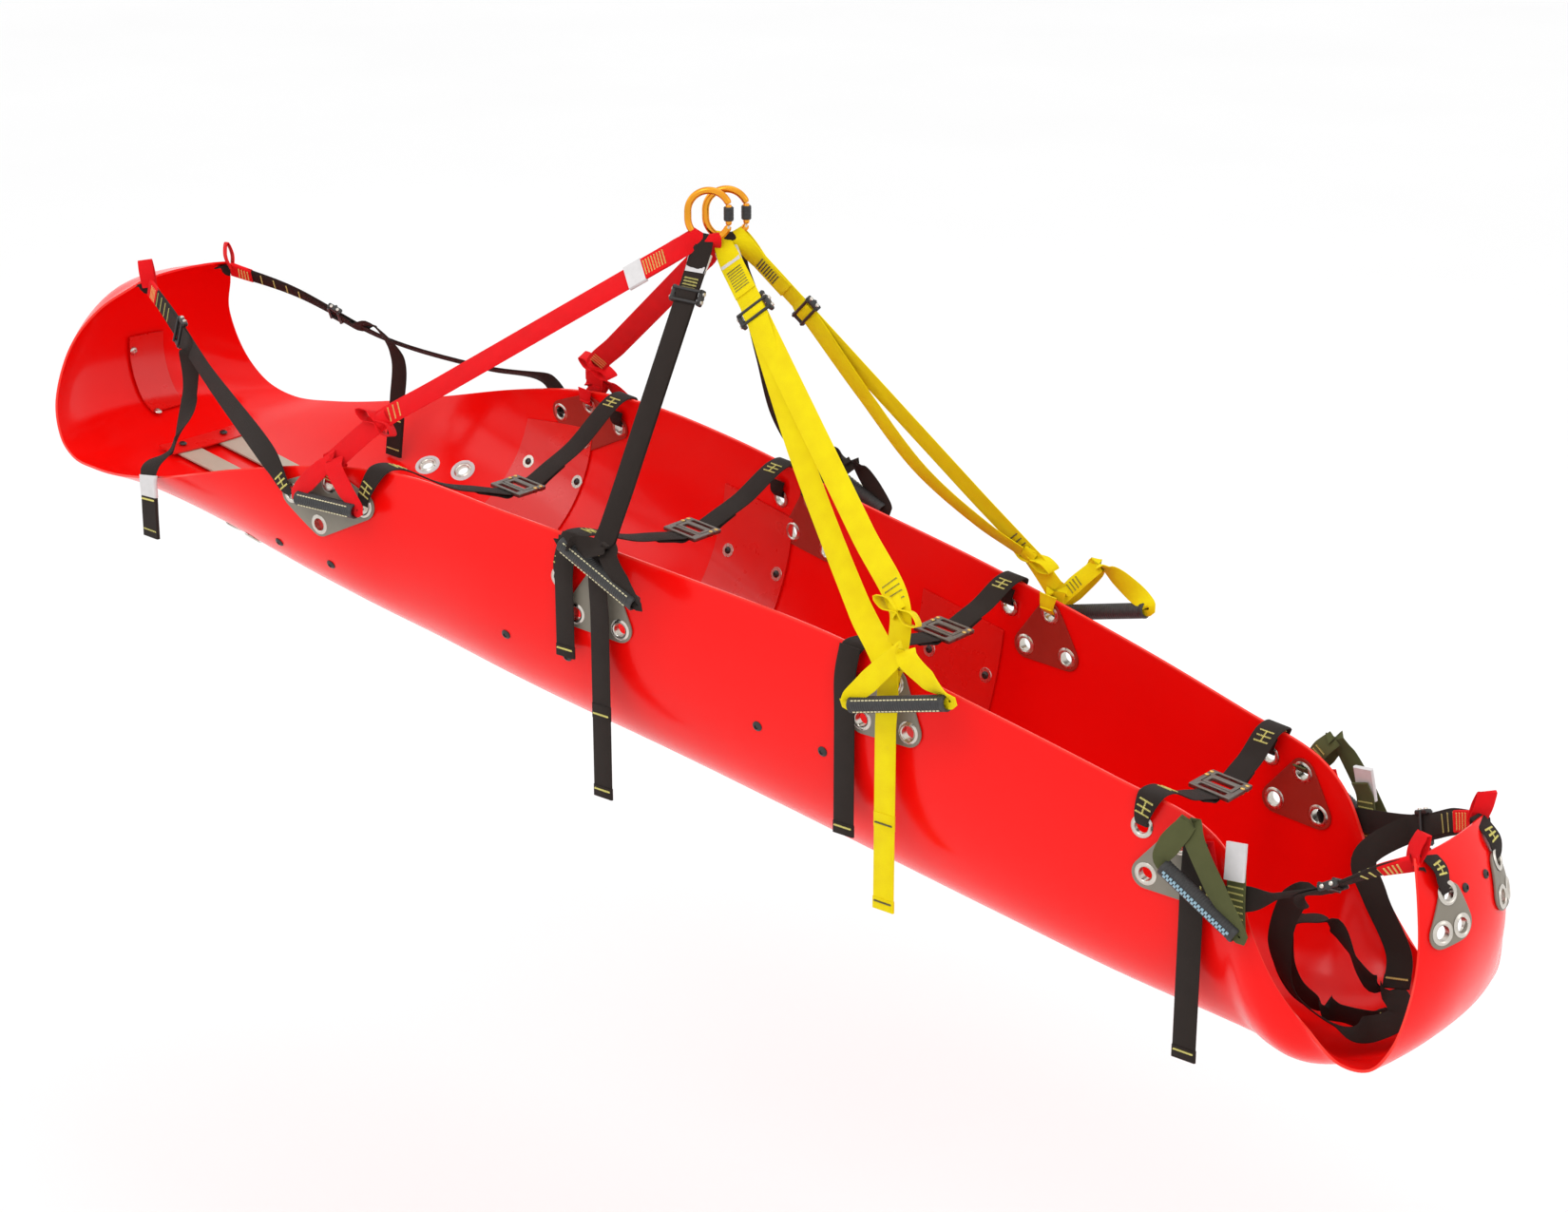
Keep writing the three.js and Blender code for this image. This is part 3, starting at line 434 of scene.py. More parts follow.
def join(forms):
    points, faces, start = [], [], 0
    for form in forms:
        points.extend(form[0])
        faces.extend([tuple(i + start for i in face) for face in form[1]])
        start += len(form[0])
    return points, faces, None


def rings_form(rings, uvs=None, closed=False):
    """A closed form over rings of points; each ring joins the next, and the ends are filled."""
    size = len(rings[0])
    faces = []
    count = len(rings)
    for i in range(count if closed else count - 1):
        for j in range(size):
            k = (j + 1) % size
            n = (i + 1) % count
            faces.append((i * size + j, i * size + k, n * size + k, n * size + j))
    if not closed:
        faces.append(tuple(range(size - 1, -1, -1)))
        faces.append(tuple((count - 1) * size + j for j in range(size)))
    return [p for ring in rings for p in ring], faces, uvs


def axes_for(direction, hint=None):
    """Two unit vectors square to a direction."""
    direction = unit(direction)
    hint = hint if hint is not None else (X if abs(direction[0]) < 0.8 else Y)
    first = unit(hint - np.dot(hint, direction) * direction)
    return first, np.cross(direction, first)


def tube(path, radius, sides=12, hint=None):
    """A round tube along a path; radius may be one number or one for each point."""
    path = np.asarray(path, dtype=float)
    radii = np.broadcast_to(radius, (len(path),))
    runs = np.gradient(path, axis=0)
    rings = []
    first = hint
    angles = np.linspace(0, 2 * math.pi, sides, endpoint=False)
    for point, run, size in zip(path, runs, radii):
        first, second = axes_for(run, first)
        rings.append([point + size * (math.cos(a) * first + math.sin(a) * second) for a in angles])
    return rings_form(rings)


def lathe(profile, centre, axis, sides=28):
    """(radius, height) pairs turned about an axis."""
    first, second = axes_for(axis)
    axis = unit(axis)
    rings = []
    for a in np.linspace(0, 2 * math.pi, sides, endpoint=False):
        out = math.cos(a) * first + math.sin(a) * second
        rings.append([centre + out * r + axis * h for r, h in profile])
    return rings_form(rings, closed=True)


def block(centre, axes, sizes, bevel=0.8):
    """A rounded block: three unit axes and three full sizes."""
    outline = []
    half = np.array(sizes, dtype=float) / 2
    for cx, cy, start in ((1, 1, 0), (-1, 1, 90), (-1, -1, 180), (1, -1, 270)):
        for step in range(4):
            a = math.radians(start + 30 * step)
            x = (half[0] - bevel) * cx + bevel * math.cos(a)
            y = (half[1] - bevel) * cy + bevel * math.sin(a)
            outline.append((x, y))
    rings = []
    chamfer = bevel * 0.7
    levels = ((-half[2], chamfer), (-half[2] + chamfer, 0), (half[2] - chamfer, 0), (half[2], chamfer))
    for z, inset in levels:
        first, second = (axes[i] * (half[i] - inset) / half[i] for i in (0, 1))
        rings.append([centre + first * x + second * y + axes[2] * z for x, y in outline])
    return rings_form(rings)


def slab(rows, columns, offset, thickness):
    """A slab of even thickness over part of the sheet, with uv = (s, t)."""
    points, normals = surface(rows, columns)
    outer = points + normals * (offset + thickness / 2)
    inner = points + normals * (offset - thickness / 2)
    n, m = len(rows), len(columns)
    faces = []
    at = lambda face, i, j: (face * n + i) * m + j
    for i in range(n - 1):
        for j in range(m - 1):
            faces.append((at(0, i, j), at(0, i, j + 1), at(0, i + 1, j + 1), at(0, i + 1, j)))
            faces.append((at(1, i, j), at(1, i + 1, j), at(1, i + 1, j + 1), at(1, i, j + 1)))
        for j, flip in ((0, 1), (m - 1, -1)):
            faces.append((at(0, i, j), at(0, i + 1, j), at(1, i + 1, j), at(1, i, j))[::flip])
    for j in range(m - 1):
        for i, flip in ((0, 1), (n - 1, -1)):
            faces.append((at(0, i, j), at(1, i, j), at(1, i, j + 1), at(0, i, j + 1))[::flip])
    uvs = [(s, t) for s in rows for t in columns] * 2
    return [p for face in (outer, inner) for row in face for p in row], faces, uvs


# ------------------------------------------------------------------ webbing
STITCH_PITCH = 1.7
STITCH_SWING = 0.8


class Ribbon:
    """Webbing along a smooth route of places: (point, direction of its width, width)."""

    def __init__(self, places, width=WEB_WIDTH, thickness=WEB, step=5.0):
        anchors = np.array([place[0] for place in places], dtype=float)
        acrosses = np.array([unit(place[1]) for place in places], dtype=float)
        for before, after in zip(acrosses, acrosses[1:]):
            if np.dot(before, after) < -0.2:
                after *= -1
        widths = np.array([place[2] if len(place) > 2 else width for place in places], dtype=float)
        fine = np.linspace(0, 1, 40 * (len(places) - 1) + 1)
        points = np.array([catmull(anchors, s) for s in fine])
        lengths = np.concatenate([[0], np.cumsum(np.linalg.norm(np.diff(points, axis=0), axis=1))])
        self.length = float(lengths[-1])
        self.thickness = thickness
        self.u = np.linspace(0, self.length, max(4, int(self.length / step)) + 1)
        where = np.interp(self.u, lengths, fine) * (len(places) - 1)
        knots = np.arange(len(places))
        self.at = np.column_stack([np.interp(self.u, lengths, points[:, k]) for k in range(3)])
        hints = np.column_stack([np.interp(where, knots, acrosses[:, k]) for k in range(3)])
        self.width = np.interp(where, knots, widths)
        runs = np.gradient(self.at, axis=0)
        runs /= np.linalg.norm(runs, axis=1, keepdims=True)
        flats = hints - np.sum(hints * runs, axis=1, keepdims=True) * runs
        self.flat = flats / np.linalg.norm(flats, axis=1, keepdims=True)
        self.normal = np.cross(runs, self.flat)

    def place(self, u, v, face=1, lift=0.0):
        """A point over a face at u along and v across, standing off it by lift."""
        at, flat, normal = (
            np.array([np.interp(u, self.u, values[:, k]) for k in range(3)])
            for values in (self.at, self.flat, self.normal)
        )
        return at + flat * v + normal * face * (self.thickness / 2 + lift)

    def form(self):
        rings, uvs = [], []
        edge = min(1.2, self.thickness * 0.6)
        for u, at, flat, normal, width in zip(self.u, self.at, self.flat, self.normal, self.width):
            w, h = width / 2, self.thickness / 2
            ring = [(-w, -h * 0.4), (-w + edge, -h), (0, -h), (w - edge, -h), (w, -h * 0.4)]
            ring += [(-a, -b) for a, b in ring]
            rings.append([at + flat * a + normal * b for a, b in ring])
            uvs += [(u / 10, a / 10) for a, _ in ring]
        return rings_form(rings, uvs)

    def piece(self, name, material, body=ROOT, stands_for=()):
        return add_piece(name, self.form(), material, body, 50, stands_for=stands_for)

    def route(self):
        return [tuple(p) for p in to_world(self.at)]

    def part(self, start, end, wider, thickness):
        """A second, thicker ribbon round part of this one: a hem, a wrap or a tag."""
        places = [(self.place(u, 0, 0), self.across(u)) for u in np.linspace(start, end, 6)]
        return Ribbon(places, float(np.interp(start, self.u, self.width)) + wider, thickness, 3.0)

    def nearest(self, point):
        """How far along the last half of the ribbon comes nearest a point."""
        half = len(self.u) // 12
        return float(self.u[half + int(np.argmin(np.linalg.norm(self.at[half:] - point, axis=1)))])

    def across(self, u):
        return np.array([np.interp(u, self.u, self.flat[:, k]) for k in range(3)])


def zigzag(ribbon, start, end, face=1, radius=0.42, lift=0.0):
    """One dense sewn line on a face, from (u, v) to (u, v)."""
    start, end = np.array(start, dtype=float), np.array(end, dtype=float)
    run = unit(end - start)
    aside = np.array([-run[1], run[0]])
    count = max(3, int(np.linalg.norm(end - start) / STITCH_PITCH) * 2)
    path = []
    for i in range(count + 1):
        u, v = start + (end - start) * i / count + aside * STITCH_SWING * (1 if i % 2 else -1)
        path.append(ribbon.place(u, v, face, radius * 0.4 + lift))
    return tube(path, radius, 5)


def bars(ribbon, start, end, count, reach, faces=(1, -1), lift=0.0):
    """Rows of stitching across the webbing, evenly between two places along it."""
    return [
        zigzag(ribbon, (u, -reach), (u, reach), face, lift=lift)
        for u in np.linspace(start, end, count) for face in faces
    ]


def h_both(ribbon, u, length=15, reach=8.5):
    """The same H of stitching on both faces."""
    return h_stitch(ribbon, u, 1, length, reach) + h_stitch(ribbon, u, -1, length, reach)


def h_stitch(ribbon, u, face, length, reach):
    """Three sewn lines across the webbing, tied by one along it."""
    ends = (u - length / 2, u, u + length / 2)
    lines = [zigzag(ribbon, (k, -reach), (k, reach), face, radius=0.6) for k in ends]
    return lines + [zigzag(ribbon, (ends[0], 0), (ends[2], 0), face, radius=0.6)]


def hang(start, length):
    """Places straight down from a point."""
    return [(start + DOWN * length * i / 4, X) for i in range(5)]


def flat_form(loops, thickness, bevel=0.5, cell=7.0):
    """A flat plate between closed loops of (x, y), its outline first and then its holes."""
    curve = bpy.data.curves.new("flat", "CURVE")
    curve.dimensions = "2D"
    curve.fill_mode = "BOTH"
    curve.extrude = thickness / 2 - bevel
    curve.bevel_depth = bevel
    curve.bevel_resolution = 1
    curve.offset = -bevel
    for loop in loops:
        spline = curve.splines.new("POLY")
        spline.points.add(len(loop) - 1)
        spline.use_cyclic_u = True
        for point, (x, y) in zip(spline.points, loop):
            point.co = (x, y, 0, 1)
    carrier = bpy.data.objects.new("flat", curve)
    mesh = bpy.data.meshes.new_from_object(carrier)
    work = bmesh.new()
    work.from_mesh(mesh)
    bmesh.ops.remove_doubles(work, verts=work.verts, dist=0.01)
    outline = np.array(loops[0])
    for axis in (0, 1):
        normal = [float(axis == 0), float(axis == 1), 0.0]
        for k in np.arange(outline[:, axis].min() + cell / 2, outline[:, axis].max(), cell):
            everything = work.verts[:] + work.edges[:] + work.faces[:]
            place = [k * n for n in normal]
            bmesh.ops.bisect_plane(work, geom=everything, dist=1e-4, plane_co=place, plane_no=normal)
    work.verts.index_update()
    form = [np.array(v.co) for v in work.verts], [tuple(v.index for v in f.verts) for f in work.faces], None
    work.free()
    bpy.data.objects.remove(carrier)
    return form


def circle(centre, radius, count=28):
    angles = np.linspace(0, 2 * math.pi, count, endpoint=False)
    return [(centre[0] + radius * math.cos(a), centre[1] + radius * math.sin(a)) for a in angles]


def bend(form, anchor, run, rise, lift):
    """A flat form bent onto the sheet, standing off its outer face by lift."""
    points = []
    for x, y, z in form[0]:
        point, normal = foot(anchor + run * x + rise * y)
        points.append(point + normal * (lift + z))
    return points, form[1], form[2]


def placed(form, origin, axes):
    first, second, third = axes
    return [origin + first * x + second * y + third * z for x, y, z in form[0]], form[1], form[2]


# ------------------------------------------------------------------ sheet, bands and battens
BANDS = {"chest": 47, "waist": 432, "leg": 796}
BAND_WIDTH = 130
BAND_THICKNESS = 2.2
BATTEN_THICKNESS = 2.4
PLATES = {
    "head": [(42, 84), (91, 57), (160, 99), (101, 113)],
    "middle": [(494, 64), (557, 62), (524, 118)],
    "footmid": [(892, 60), (954, 65), (925, 113)],
    "foot": [(1262, 9), (1321, 12), (1294, 56)],
}
LONE_EYELETS = [(466, 101), (862, 100), (1247, 58)]
DRAG_EYELETS = [(-148, -45), (-93, -35)]
FLAP_PLATE = [(-71, 47), (-43, 47), (-58, 90)]
BAND_BOLTS = [0, 95, 386, 478, 750, 841]


def wall_eyelets(side):
    spots = [spot for plate in PLATES.values() for spot in plate] + LONE_EYELETS + DRAG_EYELETS
    return [on_wall(x, z, side) for x, z in spots]


def flap_eyelets(side):
    return [foot(vec(1575, y * -side, z)) for y, z in FLAP_PLATE]


def add_sheet():
    form = slab(np.linspace(0, 1, 8 * LAST + 1), np.linspace(-1, 1, 85), 0, SHEET)
    sheet = add_piece("sheet", form, "sheet", sharp=50, uv_name="sheet", stands_for=("shell",))
    spots = [spot for side in (-1, 1) for spot in wall_eyelets(side) + flap_eyelets(side)]
    holes = join([tube([p - n * 8, p + n * 8], HOLE + 1, 24) for p, n in spots])
    drills = new_object("drills", holes, "steel", 38)
    modifier = sheet.modifiers.new("holes", "BOOLEAN")
    modifier.object = drills
    modifier.solver = "EXACT"
    with bpy.context.temp_override(object=sheet, active_object=sheet):
        bpy.ops.object.modifier_apply(modifier=modifier.name)
    bpy.data.objects.remove(drills)


def add_bands():
    offset = -(SHEET + BAND_THICKNESS) / 2 - 0.9
    for name, x in BANDS.items():
        ends = [place_along(x - BAND_WIDTH / 2), place_along(x + BAND_WIDTH / 2)]
        form = slab(np.linspace(*ends, 21), np.linspace(-6 / 7, 6 / 7, 97), offset, BAND_THICKNESS)
        add_piece(f"band_{name}_liner", form, "inner", stands_for=(f"band_{name}",))


def floor_strip(starts, ends, rows, low, high, lift, thickness):
    """A strip on the sheet's floor between two distances from the keel, from one place s to another."""
    rings = []
    for s in np.linspace(starts, ends, rows):
        spots = [foot(catmull(KEEL, s) + vec(0, y, 0)) for y in np.linspace(low, high, 7)]
        ring = [p - n * (lift + thickness / 2) for p, n in spots]
        rings.append(ring + [p - n * (lift - thickness / 2) for p, n in reversed(spots)])
    return rings_form(rings)


def add_battens():
    lift = (SHEET + BATTEN_THICKNESS) / 2 + BAND_THICKNESS + 1.2
    for name, side in SIDES.items():
        form = floor_strip(6 / LAST, 16.5 / LAST, 150, side * 17, side * 57, lift, BATTEN_THICKNESS)
        add_piece(f"batten_{name}_strip", form, "batten", stands_for=(f"batten_{name}",))
    keeper = [place_along(-438), place_along(-405)]
    add_piece("head_keeper", floor_strip(*keeper, 8, -68, 68, lift + 2.8, 2.2), "inner")
    add_piece("hood_tongue", floor_strip(2.6 / LAST, 4.5 / LAST, 30, -3, 56, 5.5, 2.0), "inner")


# ------------------------------------------------------------------ plates, eyelets and bolts
def rounded_outline(centres, margin):
    """A closed outline round the eyelets' places, with a round corner about each."""
    loop = []
    for i, centre in enumerate(centres):
        before, after = centres[i - 1], centres[(i + 1) % len(centres)]
        start = math.atan2(*(centre - before)[::-1]) - math.pi / 2
        end = math.atan2(*(after - centre)[::-1]) - math.pi / 2
        while end < start:
            end += 2 * math.pi
        for a in np.linspace(start, end, 9):
            loop.append(tuple(centre + margin * np.array([math.cos(a), math.sin(a)])))
    return loop


def add_plate(name, spots, run, rise, backed, stands_for):
    anchor, _ = foot(sum(p for p, _ in spots) / len(spots))
    flats = [np.array([np.dot(p - anchor, run), np.dot(p - anchor, rise)]) for p, _ in spots]
    flats.sort(key=lambda c: math.atan2(c[1], c[0]))
    loops = [rounded_outline(flats, PLATE_MARGIN)] + [circle(c, HOLE + 1) for c in flats]
    lift = SHEET / 2 + PLATE_LIFT + PLATE / 2
    form = bend(flat_form(loops, PLATE), anchor, run, rise, lift)
    add_piece(name + "_outer", form, "plate", stands_for=stands_for)
    if backed:
        inside = -(SHEET / 2 + 0.4 + BACKING / 2)
        add_piece(name + "_backing", bend(flat_form(loops, BACKING), anchor, run, rise, inside), "backing")


def add_plates():
    for end, side in SIDES.items():
        for name, eyelets in PLATES.items():
            spots = [on_wall(x, z, side) for x, z in eyelets]
            _, normal = foot(sum(p for p, _ in spots) / len(spots))
            rise = unit(np.cross(X, normal) * -side)
            add_plate(f"plate_{name}_{end}", spots, X, rise, True, (f"plate_{name}_{end}",))
        add_plate(f"plate_flap_{end}", flap_eyelets(side), Y, vec(0, 0, 1), False, (f"plate_flap_{end}",))


def grommet(spot, outside, inside):
    """A through eyelet: a tube with a rolled rim on each face."""
    centre, normal = spot
    roll = [(HOLE, 0.4), (HOLE + 0.9, 1.4), (HOLE + 2.4, 1.7), (RIM - 1.2, 1.0), (RIM, 0.1)]
    outer = [(r, outside + h) for r, h in roll]
    inner = [(r, -inside - h) for r, h in reversed(roll)]
    waist = [(HOLE + 0.8, outside), (HOLE + 0.8, -inside)]
    return lathe(outer + waist + inner, centre, normal, 36)


def add_grommets():
    for end, side in SIDES.items():
        plated = len([spot for plate in PLATES.values() for spot in plate])
        spots = wall_eyelets(side)
        forms = [grommet(spot, OUTSIDE, INSIDE) for spot in spots[:plated]]
        forms += [grommet(spot, SHEET / 2 + 0.6, SHEET / 2 + 0.6) for spot in spots[plated:]]
        forms += [grommet(spot, OUTSIDE, SHEET / 2 + 0.3) for spot in flap_eyelets(side)]
        add_piece(f"eyelets_{end}", join(forms), "steel")
        washers = [washer(spot, -SHEET / 2 - 0.5, RIM, 18) for spot in spots[-len(DRAG_EYELETS):]]
        add_piece(f"drag_washers_{end}", join(washers), "tag")


def washer(spot, height, inner, outer):
    centre, normal = spot
    low, high = height - 0.5, height + 0.5
    profile = [(inner, low), (outer - 0.4, low), (outer, height), (outer - 0.4, high)]
    return lathe(profile + [(inner, height + 0.5)], centre, normal)


def dome(spot, height, radius, face=1):
    """A domed bolt head standing from height on one face, with a drive recess."""
    centre, normal = spot
    crown = [(0.8, 2.0), (0.45, 2.7), (0.4, 1.5)]
    profile = [(radius, 0), (radius, 0.7), *((radius * k, height) for k, height in crown), (0.05, 1.5)]
    return lathe([(r, height + face * h) for r, h in profile] + [(0.05, height)], centre, normal, 20)


def add_bolts():
    walls = [on_wall(x, 0, side) for side in (-1, 1) for x in BAND_BOLTS]
    flap = [foot(vec(1590, y, 91)) for y in (-25, 22)]
    inside = -(SHEET / 2 + 0.4 + BAND_THICKNESS)
    heads = [dome(spot, SHEET / 2, 6.3) for spot in walls]
    heads += [dome(spot, inside - 1, 4.8, -1) for spot in walls]
    heads += [dome(spot, SHEET / 2, 5.0) for spot in flap]
    keeper = [foot(vec(-423, y, -50)) for y in (-37, 37)]
    heads += [dome(spot, -SHEET / 2 - 10.5, 5.5, -1) for spot in keeper]
    add_piece("bolt_heads", join(heads), "black")
    rings = [washer(spot, inside - 0.6, 3, 9.5) for spot in walls]
    studs = [foot(vec(-590, 3, 45)), foot(vec(-530, 3, -42))]
    rings += [dome(spot, -SHEET / 2 - 5.6, 6.0, -1) for spot in studs]
    add_piece("bolt_washers", join(rings), "steel")


# ------------------------------------------------------------------ karabiners
STOCK = 8.5
ROUND = (58 - STOCK) / 2
STRAIGHT = 8.0
YAW = math.radians(37.9)
OPENING = 22
GATE_X = ROUND * math.cos(math.radians(OPENING))
GATE_REACH = STRAIGHT / 2 + ROUND * math.sin(math.radians(OPENING))


def from_world(v):
    c, s = math.cos(PITCH), math.sin(PITCH)
    return vec(c * v[0] - s * v[2], v[1], s * v[0] + c * v[2])


class Hanger:
    """One karabiner's place: its axes in the body's frame, and points on its bows."""

    def __init__(self, sign):
        right, away = vec(math.cos(YAW), math.sin(YAW), 0), vec(-math.sin(YAW), math.cos(YAW), 0)
        drop = ROUND - STOCK / 2 + STRAIGHT / 2
        self.centre = LIFT + DOWN * drop + right * sign * 10 + away * sign * 6.5
        self.bow = self.centre + DOWN * STRAIGHT / 2
        self.right = right
        self.axes = from_world(right), -DOWN, from_world(away)

    def at(self, x, z, y=0.0):
        return self.centre + self.axes[0] * x + self.axes[1] * z + self.axes[2] * y


HANGERS = {"a": Hanger(-1), "b": Hanger(1)}


def karabiner_body(hanger):
    angles = np.radians(np.linspace(OPENING, 180, 30))
    bow = [(ROUND * math.cos(a), STRAIGHT / 2 + ROUND * math.sin(a)) for a in angles]
    path = [hanger.at(x, z) for x, z in bow] + [hanger.at(x, -z) for x, z in reversed(bow)]
    radii = np.full(len(path), STOCK / 2)
    radii[[0, -1]] = STOCK / 2 - 0.9
    return tube(path, radii, 20, hanger.axes[2])


def add_karabiners():
    for name, hanger in HANGERS.items():
        reach = GATE_REACH - 1.3
        pin = tube([hanger.at(GATE_X, -reach - 2, y) for y in (-4.6, 4.6)], 1.5, 14)
        title = f"karabiner_{name}"
        add_piece(title + "_bow", karabiner_body(hanger), "gold", stands_for=(title + "_body",))
        add_piece(f"karabiner_{name}_pin", pin, "steel")
        centre, up = hanger.at(GATE_X, 0), -DOWN
        profile = [(0.05, -reach), (2.4, -reach), (3.5, -reach + 1.4), (3.7, -reach + 3), (3.7, reach - 1)]
        gate = lathe(profile + [(3.1, reach), (0.05, reach)], centre, up, 24)
        add_piece(title + "_gate_bar", gate, "gold", f"gate_{name}", stands_for=(title + "_gate",))
        knurls = [(6.1 if i % 2 else 5.6, -6 + i * 0.75) for i in range(21)]
        profile = [(4.1, -6.8), (5.2, -6.8)] + knurls + [(5.2, 9.6), (4.1, 9.6)]
        sleeve = lathe(profile, centre, up, 32)
        add_piece(title + "_knurl", sleeve, "rubber", f"sleeve_{name}", stands_for=(title + "_sleeve",))


# ------------------------------------------------------------------ bridle legs
LEGS = [
    {"name": "red_near", "side": -1, "colour": "red", "hanger": "a", "slot": -17, "plate": "head",
     "knee": (160, 214, 206)},
    {"name": "red_far", "side": 1, "colour": "red", "hanger": "a", "slot": 6, "plate": "head",
     "knee": (120, 216, 176)},
    {"name": "black_near", "side": -1, "colour": "black", "hanger": "a", "slot": -6, "plate": "middle",
     "adjuster": 0.17},
    {"name": "yellow_near", "side": -1, "colour": "yellow", "hanger": "b", "slot": -6, "plate": "footmid",
     "knee": (922, 152, 200), "adjuster": 0.2},
    {"name": "black_far", "side": 1, "colour": "black", "hanger": "b", "slot": 6, "plate": "middle",
     "adjuster": 0.21},
    {"name": "yellow_far", "side": 1, "colour": "yellow", "hanger": "b", "slot": 18, "plate": "footmid",
     "knee": (888, 152, 170), "adjuster": 0.22},
]
THREADS = {
    "red": "thread_yellow", "black": "thread_yellow",
    "yellow": "thread_black", "olive": "thread_yellow",
}
SEWN = 78.0  # length of a leg's doubled top end
HEM = 14.0  # length of a tail's folded hem


def top_eyelet(plate):
    return max(PLATES[plate], key=lambda spot: spot[1])


def threaded(x, z, side, width=26):
    """Places down to an eyelet from above, through it and back up inside the wall."""
    return [
        (beside(x, z + 26, side, OVER_PLATE), X, width),
        (beside(x, z + 9, side, OVER_PLATE - 1), X, 17),
        (beside(x, z + 1, side, 1.0), X, 13),
        (beside(x, z + 9, side, -INSIDE - 5), X, 17),
        (beside(x, z + 27, side, -INSIDE - 3), X, 24),
    ]


def leg_ends(leg):
    hanger = HANGERS[leg["hanger"]]
    reach = ROUND + STOCK / 2 + 3.4
    top = hanger.bow + hanger.right * leg["slot"] + DOWN * math.sqrt(reach**2 - leg["slot"] ** 2)
    x, _ = top_eyelet(leg["plate"])
    rim = rim_at(x, leg["side"], 6) + vec(0, leg["side"] * OVER_PLATE, 0)
    knee = mirror(leg["knee"], leg["side"]) if "knee" in leg else rim
    return hanger, top, knee, rim


def leg_ribbon(leg):
    """From the doubled end, up round the karabiner's lower bow, and down to the plate."""
    hanger, top, knee, rim = leg_ends(leg)
    run = unit(knee - top)
    across = unit(X - np.dot(X, run) * run)
    behind = np.cross(run, across) * (WEB + 0.15)
    radial = unit(top - hanger.bow)
    bow_axis = np.cross(radial, hanger.axes[2])
    bow_axis *= np.sign(np.dot(bow_axis, X))
    stock = hanger.bow + radial * ROUND
    beside_bow = hanger.axes[2] * np.sign(np.dot(hanger.axes[2], behind)) * (STOCK / 2 + 1.4)
    places = [(top + run * d + behind, across, 29) for d in (SEWN, 55, 32)]
    places += [
        (stock + radial * 1.5 + beside_bow, bow_axis, 20), (stock - radial * (STOCK / 2 + 1.4), bow_axis, 18),
        (stock + radial * 1.5 - beside_bow, bow_axis, 20),
    ]
    places += [(top + run * d, across, 29) for d in (32, 55, SEWN)]
    places += [(along(top, knee, 0.5), across), (along(top, knee, 0.8), across), (knee, X)]
    if "knee" in leg:
        places.append((rim, X))
    return Ribbon(places + threaded(*top_eyelet(leg["plate"]), leg["side"]), step=2.2)


def add_legs():
    for leg in LEGS:
        name, colour = leg["name"], leg["colour"]
        ribbon = leg_ribbon(leg)
        ribbon.piece(f"leg_{name}_webbing", f"web_{colour}", stands_for=(f"leg_{name}",))
        _, top, knee, _ = leg_ends(leg)
        first = ribbon.nearest(along(top, knee, 34 / np.linalg.norm(knee - top)))
        lower = ribbon.nearest(knee)
        tagged = name in ("red_near", "black_near", "yellow_near")
        skip = 8 if tagged else 0
        rows = bars(ribbon, first + skip, first + skip + 27, 8, 10)
        rows += bars(ribbon, first + skip, first + skip + 27, 8, 10, (1, -1), WEB + 0.15)
        if "knee" in leg:
            rows += bars(ribbon, lower - 34, lower - 12, 4, 10)
        add_piece(f"leg_{name}_stitching", join(rows), THREADS[colour])
        if tagged:
            start = first + 38 if name == "red_near" else first - 24
            ribbon.part(start, start + 24, 4, 6.2).piece(f"leg_{name}_tag", "tag")


# ------------------------------------------------------------------ sliding adjusters
BAR_TIP = [(0.05, 0), (2.6, 0), (2.2, 1.8), (0.05, 2.3)]


def slider(at, run, across, width=46, height=20, depth=8):
    """A slotted frame of round bars between two rails, and the steel tips of its bars."""
    normal = np.cross(run, across)
    axes = (across, run, normal)
    rails = [block(at + across * e * (width / 2 - 3), axes, (5.5, height, depth), 1.8) for e in (1, -1)]
    bars_at = [run * e * (height / 2 - 3) + normal * f * depth / 2 for e, f in ((1, 1), (-1, 1), (0, -1))]
    reach = across * (width / 2 - 2)
    rails += [tube([at + offset - reach, at + offset + reach], 1.9, 12) for offset in bars_at]
    tips = []
    for e in (1, -1):
        for k in (1, -1):
            place = at + across * e * (width / 2 - 0.4) + run * k * 5
            tips.append(lathe(BAR_TIP, place, across * e, 14))
    return join(rails), join(tips)


def add_adjusters():
    for leg in LEGS:
        if "adjuster" not in leg:
            continue
        _, top, knee, _ = leg_ends(leg)
        name = f"adjuster_{leg['name']}"
        run = unit(knee - top)
        across = unit(X - np.dot(X, run) * run)
        body_form, tips = slider(along(top, knee, leg["adjuster"]), run, across)
        add_piece(name + "_frame", body_form, "black", name, stands_for=(name,))
        add_piece(name + "_tips", tips, "steel", name)
        front = np.cross(run, across)
        at = along(top, knee, leg["adjuster"])
        turns = [(d, 1.2 + 2.6 * math.cos(d / 8)) for d in (-14, -9, -4, 0, 4, 9, 14)]
        wrap = Ribbon([(at + run * d + front * lift, across) for d, lift in turns], step=2.0)
        wrap.piece(name + "_wrap", f"web_{leg['colour']}", name)


def seam_lines(ribbon, u, lift, reach=12):
    """One sewn line across the webbing at u, on both faces, over a second thickness."""
    return [zigzag(ribbon, (u, -reach), (u, reach), face, radius=0.75, lift=lift) for face in (1, -1)]


